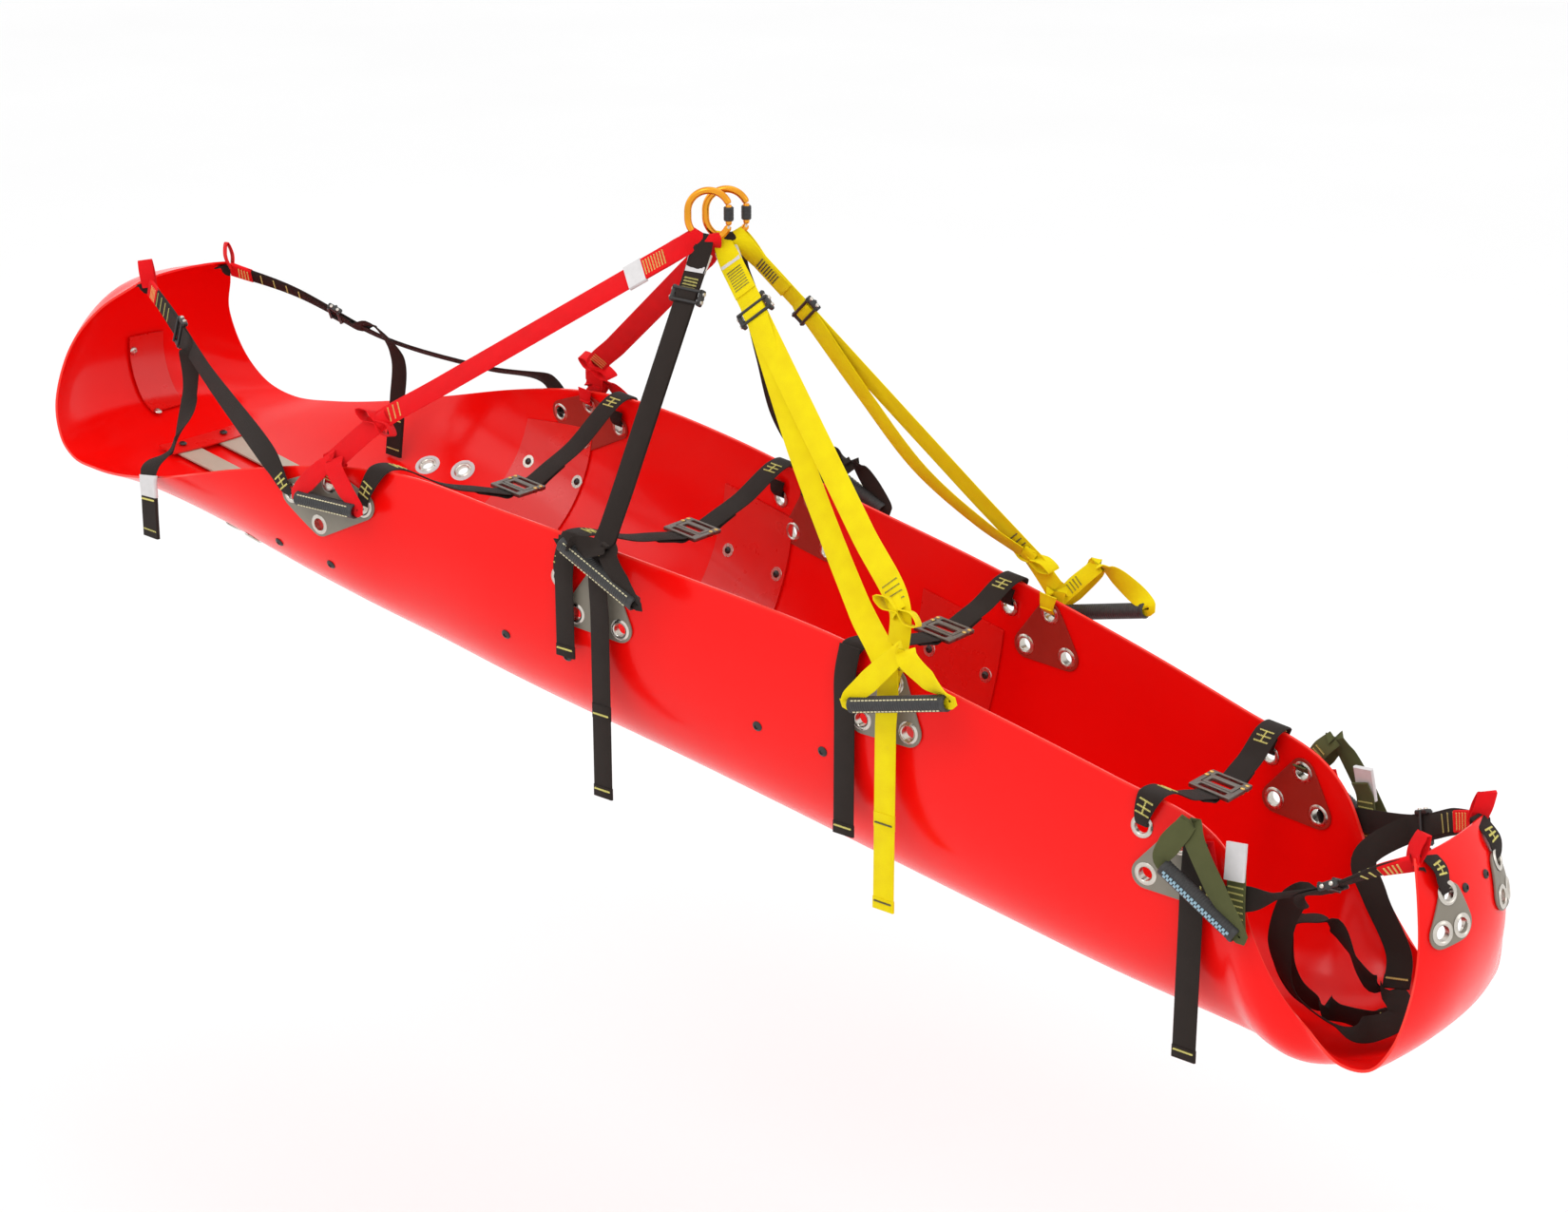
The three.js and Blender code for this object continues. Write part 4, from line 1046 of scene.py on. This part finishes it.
def add_far_strands():
    """The slack second strands of the far middle and foot legs, from their adjusters to the hitches."""
    for leg in LEGS:
        if leg["side"] < 0 or "adjuster" not in leg:
            continue
        _, top, knee, _ = leg_ends(leg)
        places = [(along(top, knee, leg["adjuster"] + 0.02) + vec(0, -3, 0), X)]
        places += [(along(top, knee, k) + vec(-9 * sag, -4, -30 * sag), X, 24) for k, sag in
                   ((0.45, 0.6), (0.65, 1.0), (0.85, 0.6), (0.97, 0.1))]
        strand = Ribbon(places, step=5)
        strand.piece(f"leg_{leg['name']}_second_strand", f"web_{leg['colour']}")


def add_tail(name, places, colour, lay="hanging"):
    """A free end of webbing: hemmed and sewn across."""
    ribbon = Ribbon(places, step=4.0)
    tail = ribbon.piece(name, f"web_{colour}")
    hem = ribbon.length - HEM
    fold = ribbon.part(hem, ribbon.length, 1.0, WEB * 2.1).piece(name + "_hem", f"web_{colour}")
    seam = add_piece(name + "_seam", join(seam_lines(ribbon, hem + 4, WEB * 0.55)), THREADS[colour])
    if ribbon.length > 6.1 * WEB_WIDTH:
        ribbon.route()[0]
        ribbon.route()
    return ribbon


def add_leg_tails():
    """The free ends of the near middle and foot legs, from their adjusters over the rim."""
    legs = {leg["name"]: leg for leg in LEGS}
    _, top, knee, _ = leg_ends(legs["black_near"])
    front = unit(np.cross(unit(knee - top), X)) * 3.2
    front *= -np.sign(front[1])
    places = [(along(top, knee, k) + front, X) for k in (0.2, 0.5, 0.93)] + hang(vec(531, -212, 148), 300)
    black = add_tail("tail_black_near", places, "black")
    over = rim_at(893, -1, 8) + vec(0, -4, 0)
    _, top, knee, _ = leg_ends(legs["yellow_near"])
    places = [(along(top, knee, 0.22) + front, X), (along(top, over, 0.55) + front, X)]
    places.append((along(top, over, 0.9), X))
    yellow = add_tail("tail_yellow_near", places + hang(vec(927, -173, 138), 290), "yellow")
    for name, ribbon, colour in (("black", black, "black"), ("yellow", yellow, "yellow")):
        ply = ribbon.part(ribbon.length - 118, ribbon.length - 100, 0.6, WEB * 2)
        ply.piece(f"tail_{name}_step", f"web_{colour}")
        seam = seam_lines(ribbon, ribbon.length - 106, WEB * 0.5)
        add_piece(f"tail_{name}_step_seam", join(seam), THREADS[colour])


def pull_loop(name, base, up, across, height, colour="red", width=15, spread=5.0):
    """A standing loop of narrow webbing."""
    up, across = unit(up), unit(across)
    aside = np.cross(up, across) * spread
    waist = base + up * height * 0.55
    spots = (base + aside * 0.3, waist + aside, base + up * height, waist - aside, base - aside * 0.3)
    return Ribbon([(p, across) for p in spots], width, 1.4, 2.0).piece(name, f"web_{colour}")


def ring_of_webbing(name, centre, axis, radius, colour, width=18, height=1.0):
    """A turn of webbing round something, as in a hitch."""
    first, second = axes_for(axis)
    angles = np.linspace(0, 2 * math.pi, 13)
    places = []
    for k, a in enumerate(angles):
        out = math.cos(a) * first + math.sin(a) * second * height
        places.append((centre + radius * out + axis * k * 0.9, axis))
    return Ribbon(places, width, WEB, 2.0).piece(name, f"web_{colour}")


def add_hitches():
    """Where the coloured legs meet the loops from the plates: turns of webbing and their short ends."""
    for leg in LEGS:
        if "knee" not in leg:
            continue
        _, top, knee, _ = leg_ends(leg)
        name, side, colour = leg["name"], leg["side"], leg["colour"]
        run = unit(top - knee)
        ring_of_webbing(f"hitch_{name}", knee - run * 2, run, 10.5, colour, 17, 0.55)
        for i, lean in enumerate((-1, 1)):
            up = unit(vec(lean * 0.95, 0.1 * side, 0.25 - 0.5 * i))
            across = unit(vec(0.25 * lean, side, 0.3))
            pull_loop(f"hitch_{name}_loop_{i}", knee, up, across, 30, colour, 17, 7)


# ------------------------------------------------------------------ grab handles
HANDLES = {
    "head": ("red", (111, 240, 150), ((66, 257, 88), (169, 256, 102))),
    "middle": ("black", (556, 224, 172), ((488, 229, 158), (607, 229, 121))),
    "footmid": ("yellow", (957, 186, 176), ((901, 196, 92), (1026, 192, 139))),
    "foot": ("olive", (1312, 148, 97), ((1294, 158, 40), (1390, 156, -3))),
}
GRIP = 9.5


def grip_form(a, b):
    """A ribbed tube grip with rolled, open ends."""
    axis, length = unit(b - a), float(np.linalg.norm(b - a))
    ribs = np.arange(4, length - 4, 1.6)
    outer = [(GRIP - (0.55 if i % 2 else 0.0), h) for i, h in enumerate(ribs)]
    ends = [(GRIP - 2.8, 0.6), (GRIP - 1.2, 0.0), (GRIP, 1.2)]
    closing = [(r, length - h) for r, h in reversed(ends)]
    bore = [(GRIP - 2.8, length - 14), (0.05, length - 14), (0.05, 14), (GRIP - 2.8, 14)]
    return lathe(ends + outer + closing + bore, a, axis, 28)


def grip_stripes(a, b, side, angles):
    """Two dashed woven lines along the grip."""
    axis = unit(b - a)
    face = unit(vec(0, side, 0) - np.dot(vec(0, side, 0), axis) * axis)
    other = np.cross(axis, face)
    dashes = []
    for angle, radius, start in angles:
        out = math.cos(math.radians(angle)) * face + math.sin(math.radians(angle)) * other
        for d in np.arange(start, np.linalg.norm(b - a) - 9, 5.0):
            dashes.append(tube([a + axis * (d + k) + out * (GRIP + 0.1) for k in (0, 1.6, 3.2)], radius, 6))
    return join(dashes)


def handle_loop(a, b, top, side):
    """Webbing out of one end of the grip, up to its top, and down into the other end."""
    axis = unit(b - a)
    rise = unit(np.cross(vec(0, side, 0), axis))
    rise *= np.sign(rise[2])
    bulge = vec(0, side * 6, 0)
    return Ribbon([
        (a + axis * 10, rise, 12), (a - axis * 5 + rise * 2, along(rise, X, 0.4), 17),
        (along(a, top, 0.45) - axis * 4 + bulge, X, 26), (along(a, top, 0.85) + bulge, X, 24), (top, X, 22),
        (along(b, top, 0.85) + bulge, X, 24), (along(b, top, 0.45) + axis * 4 + bulge, X, 26),
        (b + axis * 5 + rise * 2, along(X, -rise, 0.4), 17), (b - axis * 10, -rise, 12),
    ], step=2.5)


def add_handles():
    for name, (colour, apex, grip) in HANDLES.items():
        for end, side in SIDES.items():
            grips = [mirror(p, side) for p in grip]
            add_handle(f"handle_{name}_{end}", name, colour, side, mirror(apex, side), grips)


def add_handle(title, name, colour, side, top, grip):
    a, b = grip
    x, z = top_eyelet(name)
    add_piece(title + "_grip", grip_form(a, b), "rubber", title, 30, stands_for=(title,))
    edges, braid = ((-42, 0.75, 7), (42, 0.75, 7)), ((-9, 1.5, 6), (9, 1.5, 8.5))
    stripe, angles = ("thread_blue", braid) if name == "foot" else ("thread_pale", edges)
    add_piece(title + "_stripes", grip_stripes(a, b, side, angles), stripe, title)
    handle_loop(a, b, top, side).piece(title + "_loop", f"web_{colour}", title)
    out = OVER_PLATE + WEB + 1.2
    stem = Ribbon([
        (top + vec(0, 0, -1), X, 20), (along(top, beside(x, z + 14, side, out), 0.6), X, 22),
        (beside(x, z + 10, side, out), X, 17), (beside(x, z - 1, side, 1.0), X, 13),
        (beside(x, z + 11, side, -INSIDE - 7.5), X, 17),
    ], step=2.5)
    rows = bars(stem, stem.length * 0.3, stem.length * 0.3 + 14, 4, 7)
    webbing_piece = stem.piece(title + "_stem", f"web_{colour}", None)
    sewing = add_piece(title + "_stem_sewing", join(rows), THREADS[colour], None)
    start, stop = to_world([beside(x, z + 12, side, out), top])
    for piece in (webbing_piece, sewing):
        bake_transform(piece)


# ------------------------------------------------------------------ patient straps and buckles
STRAPS = [
    {"x": 187, "buckle": 76, "near": (160, 99), "far": (160, 99)},
    {"x": 484, "buckle": 112, "near": (466, 101), "far": (466, 101), "tail": (478, 112, 105)},
    {"x": 872, "buckle": 113, "near": (862, 100), "far": (862, 100), "tail": (868, 104, 190)},
    {"x": 1256, "buckle": 62, "near": (1247, 58), "far": (1247, 58)},
]
BASE = 16
MOUTH = 20
HALF = 26


def strap_half(row, end):
    side = SIDES[end]
    x, z = row[end]
    rim = rim_at((row["x"] + x) / 2, side, 5)
    shoulder = rim + vec(0, -side * 16, -3)
    stop = vec(row["x"], side * (BASE + 5 if end == "near" else MOUTH + 18), row["buckle"])
    half = along(shoulder, stop, 0.5) + vec(0, 0, -0.12 * (rim[2] - row["buckle"]))
    bar = stop - vec(0, side * 10, 0)
    below = vec(0, 0, -4.6)
    back = along(stop, half, 0.55) + vec(0, 0, -2.6)
    under = (back, along(stop, half, 0.2) + below * 0.8, stop + below)
    over = (stop, along(stop, half, 0.4), half, shoulder, rim + vec(0, side * 9, -4))
    places = [(p, X) for p in under] + [(bar + below * 0.5, X, 28)] + [(p, X) for p in over]
    return Ribbon(places + threaded(x, z, side)[1:], step=2.8), rim, back


def add_patient_straps():
    for number, row in enumerate(STRAPS, 1):
        for end in SIDES:
            ribbon, rim, back = strap_half(row, end)
            name = f"patient_strap_{number}_{end}"
            body = ROOT if end == "near" else None
            pieces = [ribbon.piece(name + "_webbing", "web_black", body, (name,))]
            rows = bars(ribbon, 12, 26, 3, 10, (1,))
            rows += h_both(ribbon, ribbon.length - 58) + h_both(ribbon, ribbon.nearest(rim) - 26)
            pieces.append(add_piece(name + "_sewing", join(rows), "thread_yellow", body))
            if end == "far":
                start, stop = to_world([vec(row["x"], MOUTH + 24, row["buckle"]), along(back, rim, 0.5)])
                for piece in pieces:
                    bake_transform(piece)
            elif "tail" in row:
                x, z, length = row["tail"]
                top = beside(x, z, -1, OVER_PLATE + 4)
                places = [(rim + vec(0, -13, -2), X)] + hang(top + vec(0, -2, 0), length)
                add_tail(f"tail_strap_{number}", places, "black")


def rounded(points, radius=2.0):
    """A closed loop with each corner cut by a small arc."""
    points = [np.array(p, dtype=float) for p in points]
    loop = []
    for i, p in enumerate(points):
        before, after = points[i - 1] - p, points[(i + 1) % len(points)] - p
        reach = min(radius, np.linalg.norm(before) / 2.2, np.linalg.norm(after) / 2.2)
        a, b = p + unit(before) * reach, p + unit(after) * reach
        loop += [tuple((1 - t) ** 2 * a + 2 * (1 - t) * t * p + t * t * b) for t in (0, 0.25, 0.5, 0.75, 1)]
    return loop


def frame_loops():
    outline = [(-HALF, -BASE), (HALF, -BASE), (HALF, MOUTH), (HALF - 6, MOUTH), (HALF - 6, 0), (6 - HALF, 0),
               (6 - HALF, MOUTH), (-HALF, MOUTH)]
    slot = [(9 - HALF, 5 - BASE), (HALF - 9, 5 - BASE), (HALF - 9, -4), (9 - HALF, -4)]
    return [rounded(outline), rounded(slot, 1)]


def tongue_loops():
    t, m = HALF - 6.6, MOUTH + 0.8
    outline = [(-t, 0.8), (t, 0.8), (t, m), (HALF, m), (HALF, m + 13), (-HALF, m + 13), (-HALF, m), (-t, m)]
    window = [(-t + 5, 6), (t - 5, 6), (t - 5, m - 5), (5 - t, m - 5)]
    slot = [(9 - HALF, m + 3), (HALF - 9, m + 3), (HALF - 9, m + 9), (9 - HALF, m + 9)]
    return [rounded(outline), rounded(window, 1.5), rounded(slot, 1)]


RIVET = [(0.05, -3.4), (2.6, -3.4), (2.6, 3.0), (1.8, 3.6), (0.05, 3.7)]


def add_buckles():
    for number, row in enumerate(STRAPS, 1):
        origin = vec(row["x"], 0, row["buckle"])
        axes = (X, Y, vec(0, 0, 1))
        parts = (("frame", frame_loops(), ROOT), ("tongue", tongue_loops(), f"tongue_{number}"))
        for part, loops, body in parts:
            name = f"buckle_{number}_{part}"
            form = placed(flat_form(loops, 5.0, 1.0, 100), origin, axes)
            add_piece(name + "_metal", form, "grey_metal", body, 30, stands_for=(name,))
            y = MOUTH - 3 if part == "frame" else MOUTH + 7
            spots = [origin + vec(e * (HALF - 3.2), y, 0) for e in (1, -1)]
            pins = [lathe(RIVET, spot, axes[2], 16) for spot in spots]
            add_piece(name + "_rivets", join(pins), "brass", body)


# ------------------------------------------------------------------ end straps
EDGE_ON = unit(vec(0.56, -0.72, 0.4))
END_STRAPS = [
    {"name": "head_near", "side": -1, "corner": (-450, 72, 190), "eyelet": (42, 84), "rim": (8, 8), "sag": 6,
     "leaves": 0.31, "slider": 0.24, "edge_on": (1,),
     "tail": [(-296, 130, 86), (-238, 205, 52), (-216, 262, 40), (-208, 268, 0), (-204, 268, -50)]},
    {"name": "head_far", "side": 1, "corner": (-450, 72, 190), "eyelet": (42, 84), "rim": (8, 8), "sag": 22,
     "leaves": 0.36, "slider": 0.3, "thin": 0.15, "edge_on": (0,),
     "tail": [(-225, 134, 156), (-198, 156, 115), (-203, 164, 40), (-200, 158, -35)]},
    {"name": "foot_near", "side": -1, "corner": (1526, 68, 106), "eyelet": (1321, 12), "rim": (1372, 6),
     "sag": 8, "leaves": 0.42, "slider": 0.34, "thin": 0.5, "edge_on": (2, 3, 8, 10),
     "tail": [(1400, 66, 6), (1392, 60, -50), (1408, 42, -108), (1454, 20, -138),
              (1496, 20, -122), (1514, 0, -106), (1494, -20, -98), (1464, -22, -96),
              (1442, -14, -70), (1414, -10, -42), (1378, -4, -50),
              (1362, -8, -94), (1384, -18, -140), (1440, -20, -146), (1484, -14, -132), (1506, -4, -114)]},
    {"name": "foot_far", "side": 1, "corner": (1526, 68, 106), "eyelet": (1321, 12), "rim": (1372, 6),
     "sag": 8, "leaves": 0.42, "slider": 0.34,
     "tail": [(1405, 78, 10), (1432, 62, -20), (1478, 50, -70), (1490, 30, -96)]},
]


def edge_near(x, lift, side):
    """The edge's place with this x on its upper run, standing off it, and the edge's direction there."""
    upper = [k / 400 for k in range(401) if catmull(EDGE, k / 400)[2] > -40]
    best = min(upper, key=lambda s: abs(catmull(EDGE, s)[0] - x))
    p = catmull(EDGE, best)
    run = catmull(EDGE, best + 0.005) - p
    away = unit(vec(run[2], 0, -run[0])) * -lift
    return vec(p[0], side * (p[1] + OVER_PLATE), p[2]) + away, unit(vec(run[0], 0, run[2]))


def add_end_straps():
    for row in END_STRAPS:
        side, name = row["side"], row["name"]
        start = mirror(row["corner"], side)
        place, run = edge_near(*row["rim"], side)
        up = unit(vec(0.3, 0, 1))
        middle = along(start, place, 0.5) - vec(0, 0, row["sag"])
        x, z = row["eyelet"]
        lean = unit(EDGE_ON + up * row["thin"]) if "thin" in row else up
        places = [(start, along(up, lean, 0.4), 22), (along(start, place, 0.2), along(up, lean, 0.7))]
        places.append((middle, lean))
        if "thin" in row:
            places.append((along(start, place, 0.8) - vec(0, 0, row["sag"] * 0.6), lean))
        places.append((place, run))
        places.append((beside(x, z, side, OVER_PLATE - 1), run, 17))
        places.append((beside(x + 3, z, side, -INSIDE - 3), run, 13))
        main = Ribbon(places, step=3.5)
        main.piece(f"end_strap_{name}_webbing", "web_black", stands_for=(f"end_strap_{name}",))
        add_end_fittings(row, main, start, up)
        u = main.length * row["leaves"]
        face = 1 if np.dot(main.place(u, 0, 1) - main.place(u, 0, -1), DOWN + vec(0, side, 0)) > 0 else -1
        tail = [(main.place(u + d, 0, face, 2.0), main.across(u)) for d in (-26, -13, 0)]
        edge_on = row.get("edge_on", ())
        tail += [(mirror(p, side), EDGE_ON if i in edge_on else X) for i, p in enumerate(row["tail"])]
        ribbon = add_tail(f"tail_{name}", tail, "black", lay="loose" if "foot" in name else "hanging")
        if "head" in name:
            add_tail_ends(row, ribbon)
    x, z, length = 1312, 66, 250
    top, low = (beside(x + drop / 7, z - drop, -1, OVER_PLATE + 1.5) for drop in (0, 55))
    add_tail("tail_foot_leg", [(top, X)] + hang(low, length - 55), "black")


def add_end_fittings(row, main, start, up):
    """An adjuster, sewn turns and a red pull loop on an end strap."""
    name = row["name"]
    u = main.length * row["slider"]
    run = unit(main.place(u + 4, 0, 0) - main.place(u - 4, 0, 0))
    across = unit(main.across(u) - np.dot(main.across(u), run) * run)
    body_form, tips = slider(main.place(u, 0, 0), run, across, 40, 22, 8)
    add_piece(f"end_adjuster_{name}", body_form, "black")
    add_piece(f"end_adjuster_{name}_tips", tips, "steel")
    doubled = main.part(4, u - 14, 0.5, WEB * 2.2)
    doubled.piece(f"end_strap_{name}_double", "web_black")
    rows = bars(doubled, doubled.length * 0.3, doubled.length * 0.7, 4, 10)
    add_piece(f"end_strap_{name}_sewing", join(rows), "thread_yellow")
    red = main.part(0, 34, 2, 5.4)
    red.piece(f"end_strap_{name}_wrap", "web_red")
    add_piece(f"end_strap_{name}_wrap_sewing", join(bars(red, 14, 28, 4, 9)), "thread_yellow")
    turn = 0.8 if name in ("head_near", "foot_far") else -0.5
    lean = vec(-0.3, 0, 1) if "head" in name else vec(0.15, 0, 1)
    pull_loop(f"end_strap_{name}_pull", start, lean, vec(1, turn, 0.3), 38, "red", 20)
    outward = -1 if "head" in name else 1
    inner = [foot(start + vec(d * outward, 0, d * 0.5)) for d in (14, 30)]
    root = [(start, up, 24)] + [(p - n * 4, Y, 24) for p, n in inner]
    Ribbon(root, step=3).piece(f"end_strap_{name}_root", "web_black")
    add_piece(f"end_strap_{name}_end_sewing", join(h_both(main, main.length - 34)), "thread_yellow")


def add_tail_ends(row, tail):
    """The doubled end of a head tail, and the near one's white tag."""
    name, last = row["name"], tail.length
    tail.part(last - 58, last, 0.6, 5.2).piece(f"tail_{name}_fold", "web_black")
    add_piece(f"tail_{name}_fold_seam", join(seam_lines(tail, last - 52, 2.0)), "thread_yellow")
    if name == "head_near":
        tail.part(last - 84, last - 56, 1.5, 5.8).piece(f"tail_{name}_tag", "tag")


# ------------------------------------------------------------------ flap and foot fittings
def add_flap_straps():
    """Short sewn straps from the flap's top edge down to each flap plate's top eyelet."""
    for end, side in SIDES.items():
        y, z = FLAP_PLATE[2]
        spots = [foot(vec(1560, -y * side, height)) for height in (z + 22, z + 8)]
        through = foot(vec(1575, -y * side, z))
        corner, _ = foot(vec(1540, -y * side, 118))
        places = [(corner - vec(6, 0, -4), Y, 24)]
        places += [(p + n * (OUTSIDE + 3), Y, 24) for p, n in spots]
        places += [(through[0] + through[1] * 3, Y, 14), (through[0] - through[1] * 4, Y, 13)]
        ribbon = Ribbon(places, step=2.5)
        ribbon.piece(f"flap_strap_{end}", "web_black")
        sewing = h_both(ribbon, ribbon.length * 0.42, 12, 7)
        add_piece(f"flap_strap_{end}_sewing", join(sewing), "thread_yellow")


def add_foot_tags():
    """A yellow-sewn webbing end over each foot edge with its white tag, and a red sewn end beside it."""
    for end, side in SIDES.items():
        spots = [(1360, 128, 66), (1367, 133, 50), (1374, 136, 14), (1381, 136, -20)]
        ribbon = Ribbon([(mirror(p, side), X) for p in spots], 22, WEB * 1.6, 3)
        ribbon.piece(f"foot_tag_{end}_webbing", "web_olive")
        add_piece(f"foot_tag_{end}_sewing", join(bars(ribbon, 24, ribbon.length - 12, 9, 9)), "thread_yellow")
        spots = [(1360, 130, 84), (1364, 134, 66), (1368, 138, 46)]
        Ribbon([(mirror(p, side), X) for p in spots], 24, 5.5, 3).piece(f"foot_tag_{end}", "tag")
        red = [beside(x, z, side, 6) for x, z in ((1322, 68), (1332, 44), (1340, 24))]
        Ribbon([(p, X) for p in red], 17, WEB, 3).piece(f"foot_red_{end}", "web_red")
        spots = [beside(x, z, side, 7.5) for x, z in ((1335, 38), (1340, 22), (1344, 6))]
        black = Ribbon([(p, X) for p in spots], 21, WEB, 3)
        black.piece(f"foot_red_{end}_end", "web_black")
        sewing = h_both(black, black.length / 2, 14, 7)
        add_piece(f"foot_red_{end}_sewing", join(sewing), "thread_yellow")


def add_stage():
    world = bpy.data.worlds.new("studio")
    world.use_nodes = True
    world.node_tree.nodes["Background"].inputs[0].default_value = (1, 1, 1, 1)
    world.node_tree.nodes["Background"].inputs[1].default_value = 1.08
    bpy.context.scene.world = world
    bpy.ops.mesh.primitive_plane_add(size=60, location=(0, 0, -1.45))
    floor = bpy.context.object
    floor.name = "studio_floor"
    material = Shader("floor_paper", (0.9, 0.9, 0.9), 0.9)
    material.drive("Base Color", material.mix(material.noise(0.8), (0.89, 0.89, 0.89), (0.93, 0.93, 0.93)))
    floor.data.materials.append(material.material)
    for name, place, size, power in (
        ("key", (0.6, -2.6, 2.9), 1.5, 26), ("fill", (-2.8, -1.6, 1.8), 1.6, 8),
        ("top", (0.2, 0.9, 2.8), 2.0, 10), ("foot", (3.0, 0.8, 0.8), 1.2, 6),
    ):
        data = bpy.data.lights.new(name, "AREA")
        data.size = size
        data.energy = power
        light = bpy.data.objects.new(name, data)
        light.location = place
        aim = Vector((0.15, 0, -0.45)) - Vector(place)
        light.rotation_euler = aim.to_track_quat("-Z", "Y").to_euler()
        bpy.context.collection.objects.link(light)
    bpy.context.scene.view_settings.view_transform = "Standard"


add_camera()
add_sheet()
add_bands()
add_battens()
add_plates()
add_grommets()
add_bolts()
add_karabiners()
add_legs()
add_adjusters()
add_leg_tails()
add_far_strands()
add_hitches()
add_handles()
add_patient_straps()
add_buckles()
add_end_straps()
add_flap_straps()
add_foot_tags()
add_stage()

bpy.context.view_layer.update()
